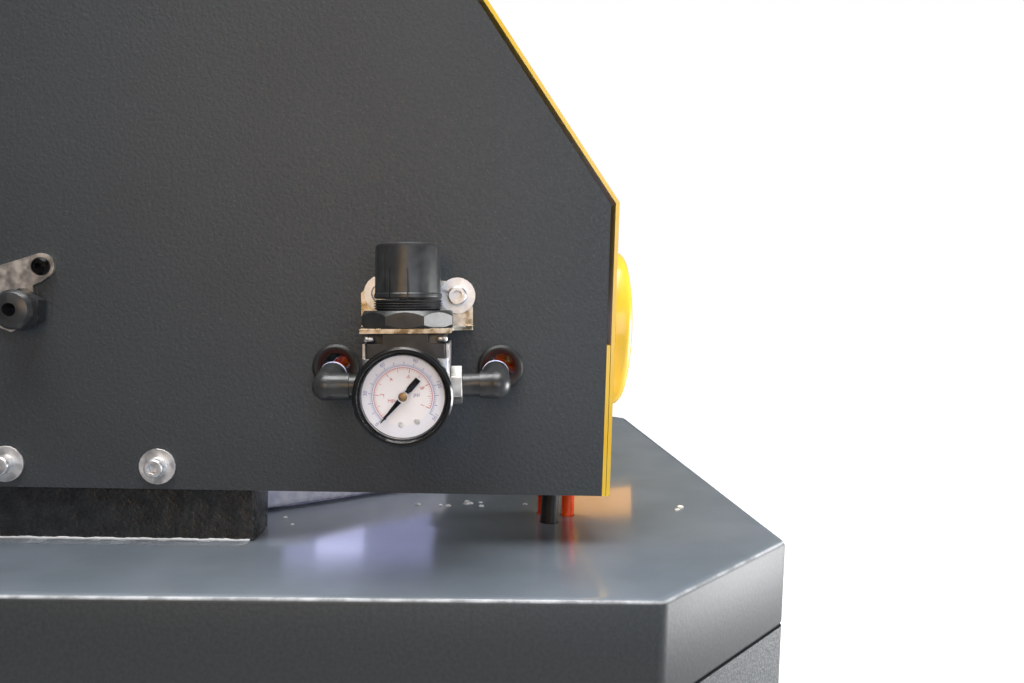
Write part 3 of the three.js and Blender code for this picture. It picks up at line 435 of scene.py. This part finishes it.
# %% Grid surfaces
GAUGE_LOW, GAUGE_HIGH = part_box("gauge_glass")
GAUGE_Y, GAUGE_Z = (GAUGE_LOW.y + GAUGE_HIGH.y) / 2, (GAUGE_LOW.z + GAUGE_HIGH.z) / 2
STEM_Y = GAUGE_Y + 1.1 * MM
LEAN = math.radians(-1.9)


def place_mesh(name, vertices, faces, material, body, slot, weld=True):
    """A mesh from whole arrays, welded, turned outwards, and riding on a body."""
    mesh = bpy.data.meshes.new(name)
    mesh.from_pydata(np.asarray(vertices).tolist(), [], np.asarray(faces).tolist())
    shape = bmesh.new()
    shape.from_mesh(mesh)
    if weld:
        bmesh.ops.remove_doubles(shape, verts=shape.verts, dist=1e-6)
        bmesh.ops.recalc_face_normals(shape, faces=shape.faces)
    shape.to_mesh(mesh)
    shape.free()
    mesh.polygons.foreach_set("use_smooth", np.ones(len(mesh.polygons), bool))
    mesh.set_sharp_from_angle(angle=math.radians(40))
    mesh.materials.append(material)
    piece = bpy.data.objects.new(name, mesh)
    bpy.context.scene.collection.objects.link(piece)
    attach(piece, body)
    return piece


def grid_faces(rows, columns, start=0):
    """Quads between neighbouring points of a rows by columns grid."""
    corner = start + np.arange((rows - 1) * columns).reshape(rows - 1, columns)[:, :-1].ravel()
    return np.stack([corner, corner + 1, corner + columns + 1, corner + columns], axis=1)


def join_grids(grids):
    """Several grids of points as one vertex array and one face array."""
    starts = np.cumsum([0] + [g.shape[0] * g.shape[1] for g in grids[:-1]])
    faces = [grid_faces(g.shape[0], g.shape[1], k) for g, k in zip(grids, starts)]
    return np.concatenate([g.reshape(-1, 3) for g in grids]), np.concatenate(faces)


def turned_about_x(profile, x, y, z, steps=40):
    """A profile of (radius, distance towards -X) in mm, swept round a line along X."""
    t = np.linspace(0, 2 * np.pi, steps + 1)
    r, h = np.array(profile).T * MM
    ring = np.stack([np.zeros_like(t), np.cos(t), np.sin(t)], axis=1)
    points = r[:, None, None] * ring[None]
    return points + np.array([x, y, z]) - h[:, None, None] * np.array([1.0, 0, 0])


def rounded_lump(centre, half, square=1.0, rows=13, columns=24):
    """A superellipsoid: sines and cosines of two angles, raised to a power that squares it off."""
    v = np.linspace(-np.pi / 2, np.pi / 2, rows)[:, None]
    u = np.linspace(-np.pi, np.pi, columns + 1)[None]
    bent = lambda w: np.sign(w) * np.abs(w) ** square
    x = bent(np.cos(v)) * bent(np.cos(u))
    y = bent(np.cos(v)) * bent(np.sin(u))
    z = bent(np.sin(v)) * np.ones_like(u)
    return np.stack([x, y, z], axis=2) * np.array(half) + np.array(centre)


def leaned(points):
    """Points that lean with the regulator, about the line along X through the gauge's port."""
    y, z = points[..., 1] - STEM_Y, points[..., 2] - GAUGE_Z
    c, s = math.cos(LEAN), math.sin(LEAN)
    return np.stack([points[..., 0], STEM_Y + y * c - z * s, GAUGE_Z + y * s + z * c], axis=-1)


# %% [markdown]
# ## The gauge's dial
# The dial is a printed sheet with two scales that start together. The blue outer scale runs to 150
# over 259 degrees and the red inner scale to 1 over a little less. Each tick is a thin
# quadrilateral of ink, a hair above the sheet, and each number is a flat text turned into a mesh
# before it is placed.

# %% Print the dial
dial_print, tree, shader, place = start_material("printed_white_dial_lacquer", Roughness=0.42, IOR=1.5)
centre = add(tree, "CombineXYZ", _0=0.0, _1=GAUGE_Y, _2=GAUGE_Z).outputs[0]
flat = add(tree, "VectorMath", {"operation": "MULTIPLY"}, _0=place, _1=(0, 1, 1)).outputs[0]
radius = add(tree, "VectorMath", {"operation": "DISTANCE"}, _0=flat, _1=centre).outputs["Value"]
inner = add(tree, "MapRange", Value=radius, From_Min=12.9 * MM, From_Max=13.1 * MM).outputs[0]
paper = grain(tree, place, 0.8, 2.0)
dial_white = tint(tree, inner, linear("#e8e6e8"), linear("#e0e2ea"))
feed(tree, shader, "Base Color", tint(tree, between(tree, paper, 0.0, 0.12), dial_white, linear("#d8d8de")))
painted("gauge_dial", dial_print)


def ink(name, colour):
    """A flat printing ink, faintly uneven."""
    made, tree, shader, place = start_material(name, Roughness=0.4)
    spread = grain(tree, place, 0.5, 2.0)
    thin = between(tree, spread, 0, 0.12)
    feed(tree, shader, "Base Color", tint(tree, thin, linear(colour), linear("#ffffff")))
    return made


blue_ink, red_ink = ink("blue_screen_ink", "#2c449c"), ink("red_screen_ink", "#b8142c")
DIAL_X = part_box("gauge_dial")[0].x
INK_X = DIAL_X - 0.03 * MM
START, SWEEP = math.radians(228), math.radians(259)


def dial_point(angle, r, x=INK_X):
    """Points at an angle anticlockwise from the right hand of someone who faces the dial."""
    r = np.asarray(r) * MM
    shape = np.broadcast(angle, r).shape
    return np.stack([np.full(shape, x), GAUGE_Y - r * np.cos(angle), GAUGE_Z + r * np.sin(angle)], axis=-1)


def ticks(count, every, root, short, tall, width):
    """Radial marks at equal steps of the sweep; each `every`-th one is long."""
    n = np.arange(count + 1)
    angle = START - SWEEP * n / count
    tip = root + np.where(n % every == 0, tall, short)
    half = np.where(n % every == 0, 1.0, 0.7) * width / 2
    quad = [dial_point(angle - half / root, root), dial_point(angle + half / root, root),
            dial_point(angle + half / tip, tip), dial_point(angle - half / tip, tip)]
    corners = np.stack(quad, axis=1)
    return corners.reshape(-1, 3), np.arange(4 * (count + 1)).reshape(-1, 4)


def arc(r, width, sweep, steps=120):
    """A thin curved line of ink along part of the sweep."""
    angle = START - np.linspace(0, sweep, steps)
    return np.stack([dial_point(angle, np.full(steps, r)), dial_point(angle, np.full(steps, r + width))])


def flat_text(words, size, centred):
    """A text turned to a flat mesh, with its points, before either is placed."""
    curve = bpy.data.curves.new("text_" + words, "FONT")
    curve.body, curve.size = words, size * MM
    if centred:
        curve.align_x, curve.align_y = "CENTER", "CENTER"
    holder = bpy.data.objects.new("text_" + words, curve)
    bpy.context.scene.collection.objects.link(holder)
    bpy.context.view_layer.update()
    mesh = bpy.data.meshes.new_from_object(holder.evaluated_get(bpy.context.evaluated_depsgraph_get()))
    bpy.data.objects.remove(holder)
    flat = np.zeros(len(mesh.vertices) * 3)
    mesh.vertices.foreach_get("co", flat)
    return mesh, flat.reshape(-1, 3)


def number(words, angle_deg, r, size, material, turn=True):
    """A flat number or unit on the dial, as a mesh whose points are moved into place."""
    mesh, flat = flat_text(words, size, True)
    a = math.radians(angle_deg)
    lean = a - math.pi / 2 if turn else 0.0
    c, s = math.cos(lean), math.sin(lean)
    across = flat[:, 0] * c - flat[:, 1] * s + r * MM * math.cos(a)
    upward = flat[:, 0] * s + flat[:, 1] * c + r * MM * math.sin(a)
    put = np.stack([np.full(len(flat), INK_X), GAUGE_Y - across, GAUGE_Z + upward], axis=1)
    mesh.vertices.foreach_set("co", put.ravel())
    mesh.update()
    mesh.materials.clear()
    mesh.materials.append(material)
    made = bpy.data.objects.new("dial_" + words.replace(".", "p") + "_" + str(int(r)), mesh)
    bpy.context.scene.collection.objects.link(made)
    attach(made, BODY_OF["gauge_dial"])
    return made


MPA_SWEEP = math.radians(250.5)


def scale_print(name, shape, material):
    """One part of a scale, lying flat on the dial."""
    return place_mesh(name, *shape, material, "frame", "gauge_dial", weld=False)


scale_print("dial_blue_ticks", ticks(75, 5, 13.7, 1.0, 1.9, 0.26), blue_ink)
scale_print("dial_blue_arc", join_grids([arc(13.6, 0.2, SWEEP)]), blue_ink)
SWEEP_BLUE, SWEEP = SWEEP, MPA_SWEEP
scale_print("dial_red_ticks", ticks(50, 10, 11.8, 1.0, 1.05, 0.26), red_ink)
scale_print("dial_red_major", ticks(10, 2, 10.9, 1.0, 1.9, 0.34), red_ink)
scale_print("dial_red_arc", join_grids([arc(12.75, 0.28, SWEEP)]), red_ink)
SWEEP = SWEEP_BLUE
for n, value in enumerate(("0", "30", "60", "90", "120", "150")):
    number(value, 228 - 259 * n / 5, 16.7, 2.3, blue_ink)
for n, value in enumerate((".2", ".4", ".6", ".8", "1")):
    number(value, 228 - 250.5 * (n + 1) / 5, 9.2, 2.6, red_ink)
number("psi", 10, 6.0, 2.6, blue_ink, turn=False)
number("MPa", 205, 5.2, 2.4, red_ink, turn=False)
print("dial radius, mm:", round((GAUGE_HIGH.z - GAUGE_LOW.z) / 2 / MM, 2))

# %% [markdown]
# Two dished screws hold the dial, a pin stops the needle and a turned bronze cap holds the needle
# on its spindle. They are small surfaces of revolution.

# %% Screws, pin and cap of the dial
dial_screws = [
    turned_about_x([(0, 0.12), (0.45, 0.12), (0.6, 0.3), (1.15, 0.28), (1.3, 0.1), (1.3, 0)],
                   DIAL_X, GAUGE_Y - across * MM, GAUGE_Z - down * MM, 28)
    for across, down in ((-0.8, 12.4), (6.4, 10.9))
]
place_mesh("dial_screws", *join_grids(dial_screws), zinc, "frame", "gauge_dial")
PIN_PROFILE = [(0, 0.3), (0.35, 0.28), (0.45, 0.1), (0.45, 0)]
pin = turned_about_x(PIN_PROFILE, DIAL_X, GAUGE_Y + 7.6 * MM, GAUGE_Z - 10.1 * MM, 16)
place_mesh("dial_stop_pin", *join_grids([pin]), black_oxide, "frame", "gauge_dial")
bronze = plated("turned_bronze", "#6f543c", "#a58a6a", 0.25, 0.4, 0.4, 0.02)
NEEDLE_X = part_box("gauge_needle")[0].x
CAP_PROFILE = [(0, 0.35), (1.5, 0.33), (1.9, 0.2), (2.0, 0.0), (2.0, -0.2)]
COLLAR_PROFILE = [(2.05, -0.3), (2.05, 0.0), (2.4, 0.02), (2.5, -0.15), (2.5, -0.3)]
cap = turned_about_x(CAP_PROFILE, NEEDLE_X, GAUGE_Y, GAUGE_Z, 36)
place_mesh("needle_cap", *join_grids([cap]), bronze, BODY_OF["gauge_needle"], "gauge_needle")
collar = turned_about_x(COLLAR_PROFILE, NEEDLE_X, GAUGE_Y, GAUGE_Z, 36)
place_mesh("needle_collar", *join_grids([collar]), zinc, BODY_OF["gauge_needle"], "gauge_needle")

# %% [markdown]
# The regulator's bonnet is held by two die-cast lugs that hook into its corner pockets. Each
# one-touch elbow ends in a *release ring*, pale so that a fitter can find it.

# %% Lugs and release rings
FLANGE_Z = GAUGE_Z + 26.8 * MM
BODY_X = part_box("regulator_body")[0].x
STEM_X = BODY_X + 19.5 * MM
lug_grids = []
for side in (-1, 1):
    y = STEM_Y + side * 17.4 * MM
    lug_grids.append(leaned(rounded_lump(
        (BODY_X + 2.2 * MM, y, FLANGE_Z - 2.7 * MM), (1.9 * MM, 2.6 * MM, 1.3 * MM), 0.5)))
    lug_grids.append(leaned(rounded_lump(
        (BODY_X + 1.7 * MM, y + side * 1.0 * MM, FLANGE_Z - 2.5 * MM), (1.6 * MM, 1.5 * MM, 1.6 * MM), 0.8)))
place_mesh("bonnet_lugs", *join_grids(lug_grids), die_cast, "frame", "regulator_body")
ELBOW_REACH, SWIVEL = (-43.6, 41.0), math.radians(12)  # reach in mm from the stem's axis
rings = []
for reach in ELBOW_REACH:
    ring = turned_about_x([(6.55, -0.1), (6.9, 0), (7.15, 0.5), (7.15, 1.3), (6.9, 1.8), (6.55, 1.8)],
                          STEM_X + 20.2 * MM, STEM_Y + reach * MM, GAUGE_Z, 48)
    centre = np.array([STEM_X, STEM_Y + reach * MM, GAUGE_Z])
    c, s = math.cos(SWIVEL), math.sin(SWIVEL)
    rings.append(leaned((ring - centre) @ np.array([[c, 0, s], [0, 1, 0], [-s, 0, c]]) + centre))
place_mesh("release_rings", *join_grids(rings), lilac_acetal, "frame", "elbow_front")
print("lugs and rings:", len(lug_grids) + len(rings))

# %% [markdown]
# ## Sealant and water
# A bead of grey *sealant* closes the joint between the bed casting and the tray. A finger
# smeared it, so it is thick at the casting and feathers out over 12 mm. Its thickness wanders along
# the joint as a sum of slow sines. Its thick part by the casting is painted near-white, partly the
# sealant's own pale grey and partly a painted highlight along the bead. Drops of coolant stand on
# the tray as flattened domes.

# %% Sealant bead and droplets
RAIL_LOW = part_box("bed_casting")[0]
sealant, tree, shader, place = start_material(
    "smeared_silicone_sealant", Roughness=0.2, IOR=1.42, Coat_Weight=0.5,
)
streak = grain(tree, place, 9, 4.0, 0.65)
outward = add(tree, "SeparateXYZ", _0=place).outputs[0]
body = between(tree, outward, 0, 1, RAIL_LOW.x - 3 * MM, RAIL_LOW.x - 0.5 * MM)
film = between(tree, outward, 0, 1, RAIL_LOW.x - 13 * MM, RAIL_LOW.x - 9 * MM)
# Near-white on the last 2.5 mm by the casting: partly the sealant's colour, partly a painted highlight.
feed(tree, shader, "Base Color", tint(tree, body, linear("#9aa0a6"), linear("#dcdee0")))
patchy = between(tree, streak, 0.1, 0.75, 0.42, 0.6)
cover = add(tree, "Math", {"operation": "MAXIMUM"}, _0=body, _1=patchy).outputs[0]
feed(tree, shader, "Alpha", add(tree, "Math", {"operation": "MULTIPLY"}, _0=cover, _1=film).outputs[0])
raise_surface(tree, shader, streak, 0.25, 0.2)
along = np.linspace(RAIL_LOW.y + 2 * MM, 0.298, 400)[:, None]
across = np.linspace(0, 1, 16)[None]
wander = 0.5 + 0.25 * np.sin(along * 310) + 0.15 * np.sin(along * 723 + 1) + 0.1 * np.sin(along * 1571 + 2)
thick = (0.7 + 0.7 * wander) * MM
bead_x = RAIL_LOW.x - 0.05 * MM - 14 * MM * across + 0 * along
bead_z = RAIL_LOW.z - 0.22 * MM + thick * np.clip(1 - across * 4, 0, 1) ** 2 + 0.72 * MM * across
bead = np.stack(np.broadcast_arrays(bead_x, along, bead_z), axis=2)
place_mesh("sealant_bead", *join_grids([bead]), sealant, "frame", "bed_casting")

water, tree, shader, place = start_material("coolant_water", Roughness=0.03, IOR=1.33, Coat_Weight=1.0)
milk = grain(tree, place, 2.0, 2.0)
feed(tree, shader, "Base Color", tint(tree, between(tree, milk, 0, 1), linear("#aab0b8"), linear("#f2f4f4")))
PAN_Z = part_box("bed_casting")[0].z - 0.3 * MM
splash = np.random.default_rng(11)


def splashed(count, centre, spread, size):
    """Drops scattered normally round a point of the tray, each with its own radius, in mm."""
    places = splash.normal(centre, spread, (count, 2))
    return np.column_stack([places, splash.uniform(*size, count)])


# Count, centre, spread and range of radii of each group.
DROPS = np.concatenate([
    splashed(10, (-152, -248), (6, 22), (1.3, 2.2)), splashed(3, (-160, -389), (4, 6), (1.5, 2.0)),
    splashed(2, (-190, -152), (14, 10), (1.2, 1.5)), splashed(6, (90, -320), (80, 22), (1.4, 2.4)),
])
BORDER_START, BORDER_WIDTH, PAN_DEPTH = 342, 83, 4  # mm, the tray's sloping border
border = np.clip(np.abs(DROPS[:, 1]) - BORDER_START, 0, BORDER_WIDTH) / BORDER_WIDTH * PAN_DEPTH * MM
drops = [
    rounded_lump((x * MM, y * MM, PAN_Z + lift), (r * MM * 0.9, r * MM, r * MM * 0.62), 1.0, 11, 20)
    for (x, y, r), lift in zip(DROPS, border)
]
place_mesh("coolant_drops", *join_grids(drops), water, "frame", "drip_tray")
print("drops:", len(drops), " bead length, mm:", round(float(along[-1, 0] - along[0, 0]) / MM))

# %% [markdown]
# ## The other sides
# Sheet covers are held by rows of domed screws on washers, and the hood swings on a *piano hinge*,
# whose knuckles belong by turns to the hood and to the frame. Each head, with its round socket, is
# a short profile turned round its own axis.

# %% Screw rows
SCREW_PROFILE = [(0, 1.0), (1.9, 1.0), (2.0, 2.5), (3.2, 2.3), (4.4, 1.6), (4.9, 0.7), (7.4, 0.7), (7.6, 0)]
REAR_Y, SIDE_X, BOX_REAR_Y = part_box("rear_cover")[1].y / MM, 237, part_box("control_box")[1].y / MM


def screw_row(name, places, side, body, slot):
    """Domed screws on their washers at (x, y, z) points, facing -x, +x or +y."""
    grids = []
    for x, y, z in places:
        head = turned_about_x(SCREW_PROFILE, 0, 0, 0, 28)
        if side == "+x":
            head = head * np.array([-1, 1, 1])
        if side == "+y":
            head = np.stack([head[..., 1], -head[..., 0], head[..., 2]], axis=-1)
        grids.append(head + np.array([x, y, z]) * MM)
    return place_mesh(name, *join_grids(grids), zinc, body, slot)


rear = [(x, REAR_Y, z) for x in (-215, 215) for z in (806, 975, 1150, 1322)]
screw_row("rear_cover_screws", rear, "+y", "frame", "rear_cover")
box_rear = [(x, BOX_REAR_Y, z) for x in (-136, 136) for z in (1360, 1530)]
screw_row("control_box_screws", box_rear, "+y", "frame", "control_box")
right_side = [(SIDE_X, y, 797) for y in (-85.5, -6.9, 150, 280)] + [(SIDE_X, y, 1320) for y in (40, 160, 280)]
screw_row("right_panel_screws", right_side, "+x", "frame", "side_panel_right")
left_side = [(-SIDE_X, y, 797) for y in (150, 280)] + [(-SIDE_X, y, 1320) for y in (40, 160, 280)]
screw_row("left_panel_screws", left_side, "-x", "frame", "side_panel_left")
print("cover screws:", sum(map(len, (rear, box_rear, right_side, left_side))))

# %% Piano hinge of the hood
HINGE_Y, HINGE_Z = -41.71, 1347.27  # mm, the axis on which the hood is jointed
KNUCKLE_PITCH, KNUCKLE_LENGTH, KNUCKLE_RADIUS = 20, 19.4, 3.0  # mm


def knuckles(name, starts, length, radius, body, slot, material):
    """Short barrels along the hood's hinge line, each with closed ends."""
    profile = [(0, 0), (radius, 0), (radius, length), (0, length)]
    grids = [turned_about_x(profile, x * MM, HINGE_Y * MM, HINGE_Z * MM, 20) for x in starts]
    return place_mesh(name, *join_grids(grids), material, body, slot)


knuckle_starts = np.arange(-11, 12) * KNUCKLE_PITCH + 9.8
size = (KNUCKLE_LENGTH, KNUCKLE_RADIUS)
knuckles("hinge_knuckles_hood", knuckle_starts[::2], *size, BODY_OF["hood"], "hood", zinc)
knuckles("hinge_knuckles_frame", knuckle_starts[1::2], *size, "frame", "side_panel_left", zinc)

# %% [markdown]
# The display shows a plain working screen: three bars, three ruled fields and a number in each.
# Each is a thin lit shape just in front of the black glass.

# %% Picture on the display
SCREEN_LOW, SCREEN_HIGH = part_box("display")
SCREEN_Y = SCREEN_LOW.y - 0.05 * MM


def lit(name, colour, strength):
    """A lit screen element: its glow, over a dark glass, with the grid of its cells."""
    made, tree, shader, place = start_material(name, Roughness=0.2)
    cell = grain(tree, place, 0.7, 0.0)
    shader.inputs["Base Color"].default_value = linear("#0a0c0e")
    glow = tint(tree, between(tree, cell, 0, 0.35), linear(colour), linear("#0a1014"))
    feed(tree, shader, "Emission Color", glow)
    shader.inputs["Emission Strength"].default_value = strength
    return made


def panes(name, boxes, material):
    """Flat rectangles on the screen: left, bottom, right and top as fractions of its size."""
    left, bottom, right, top = np.array(boxes).T
    width, height = SCREEN_HIGH.x - SCREEN_LOW.x, SCREEN_HIGH.z - SCREEN_LOW.z
    x = SCREEN_LOW.x + np.stack([left, right, right, left], axis=1) * width
    z = SCREEN_LOW.z + np.stack([bottom, bottom, top, top], axis=1) * height
    points = np.stack([x, np.full_like(x, SCREEN_Y), z], axis=2).reshape(-1, 3)
    quads = np.arange(len(points)).reshape(-1, 4)
    return place_mesh(name, points, quads, material, "frame", "display", weld=False)


blue_light, white_light = lit("lit_blue_pixels", "#2f7fd0", 0.8), lit("lit_white_pixels", "#dfe8f0", 0.9)
green_light = lit("lit_green_pixels", "#3fc070", 0.9)
rows = 0.22 * np.arange(3)
panes("screen_header", [(0.02, 0.88, 0.98, 0.98), (0.02, 0.02, 0.98, 0.04)], blue_light)
rules = [(0.06, top - down, 0.46, top + 0.01 - down) for top in (0.62, 0.78) for down in rows]
panes("screen_fields", rules, white_light)
widths = (0.38, 0.24, 0.31)
bars = [(0.54, 0.66 - down, 0.54 + wide, 0.76 - down) for down, wide in zip(rows, widths)]
panes("screen_bars", bars, green_light)
for n, value in enumerate(("12.50", "3.200", "0.045")):
    mesh, flat = flat_text(value, 15, False)
    x = SCREEN_LOW.x + 16 * MM + flat[:, 0]
    z = SCREEN_LOW.z + (0.65 - 0.22 * n) * (SCREEN_HIGH.z - SCREEN_LOW.z) + flat[:, 1]
    mesh.vertices.foreach_set("co", np.stack([x, np.full_like(x, SCREEN_Y - 0.02 * MM), z], axis=1).ravel())
    mesh.update()
    mesh.materials.clear()
    mesh.materials.append(white_light)
    digits = bpy.data.objects.new("screen_number_" + str(n), mesh)
    bpy.context.scene.collection.objects.link(digits)
    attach(digits, "frame")
print("screen size, mm:", [round(v / MM) for v in (SCREEN_HIGH - SCREEN_LOW)][::2])

# %% [markdown]
# ## The studio
# A pale floor, a soft light overhead, a wide one in front of the machine and a cool one behind the
# eye, with small warm, lilac and amber lights close in. The floor and the walls read white to the
# eye, while the surfaces see them as a pale floor and grey walls.

# %% Floor, walls and lights
floor_mesh = bpy.data.meshes.new("floor")
floor_mesh.from_pydata([(-30, -30, 0), (30, -30, 0), (30, 30, 0), (-30, 30, 0)], [], [(0, 1, 2, 3)])
floor = bpy.data.objects.new("floor", floor_mesh)
bpy.context.scene.collection.objects.link(floor)
floor_paint, tree, shader, place = start_material("pale_studio_floor", Roughness=0.9)
shader.inputs["Base Color"].default_value = linear("#c4c4c4")
shader.inputs["Emission Color"].default_value = linear("#ffffff")
feed(tree, shader, "Emission Strength", add(tree, "LightPath").outputs["Is Camera Ray"])
floor_mesh.materials.append(floor_paint)

world = bpy.data.worlds.new("studio")
bpy.context.scene.world = world
world.use_nodes = True
tree = world.node_tree
tree.nodes.clear()
seen = add(tree, "LightPath").outputs["Is Camera Ray"]
white_wall = add(tree, "Background", Color=(1, 1, 1, 1), Strength=1.0)
grey_wall = add(tree, "Background", Color=linear("#c4cad6"), Strength=0.22)
mixed = add(tree, "MixShader", _0=seen, _1=grey_wall.outputs[0], _2=white_wall.outputs[0])
sky = add(tree, "OutputWorld")
tree.links.new(mixed.outputs[0], sky.inputs[0])


def soft_light(name, watts, size, place, target, colour="#ffffff", tall=None):
    """A soft rectangular light at place that faces target; only its light is seen, not its face."""
    data = bpy.data.lights.new(name, "AREA")
    data.shape = "RECTANGLE" if tall else "SQUARE"
    data.energy, data.size, data.size_y, data.color = watts, size, tall or size, linear(colour)[:3]
    made = bpy.data.objects.new(name, data)
    bpy.context.scene.collection.objects.link(made)
    made.location = place
    made.rotation_euler = (Vector(target) - Vector(place)).to_track_quat("-Z", "Y").to_euler()
    made.visible_camera = False
    return made


soft_light("key_above", 82, 1.5, (-0.5, -0.15, 2.9), (-0.28, -0.2, 0.85))
soft_light("front_window", 105, 1.7, (0.08, -3.0, 0.62), (-0.28, -0.4, 0.74), tall=1.1)
soft_light("fill_behind_eye", 10.5, 1.1, (-2.2, -0.9, 1.2), (-0.3, -0.2, 0.85), "#eaf0ff")
soft_light("warm_glow", 1.7, 0.35, (-1.15, -0.06, 1.12), (-0.24, -0.06, 1.06), "#ffcf90")
soft_light("work_lamp", 0.03, 0.16, (0.2, -0.13, 0.872), (-0.24, -0.16, 0.76), "#b4b8f0", 0.05)
soft_light("hood_bounce", 0.005, 0.05, (-0.06, -0.352, 0.776), (-0.4, -0.34, 0.76), "#e8a030", 0.02)
soft_light("work_lamp_core", 0.008, 0.05, (0.195, -0.11, 0.872), (-0.24, -0.16, 0.76), "#d4d6ff", 0.02)
print("lights:", len(bpy.data.lights))
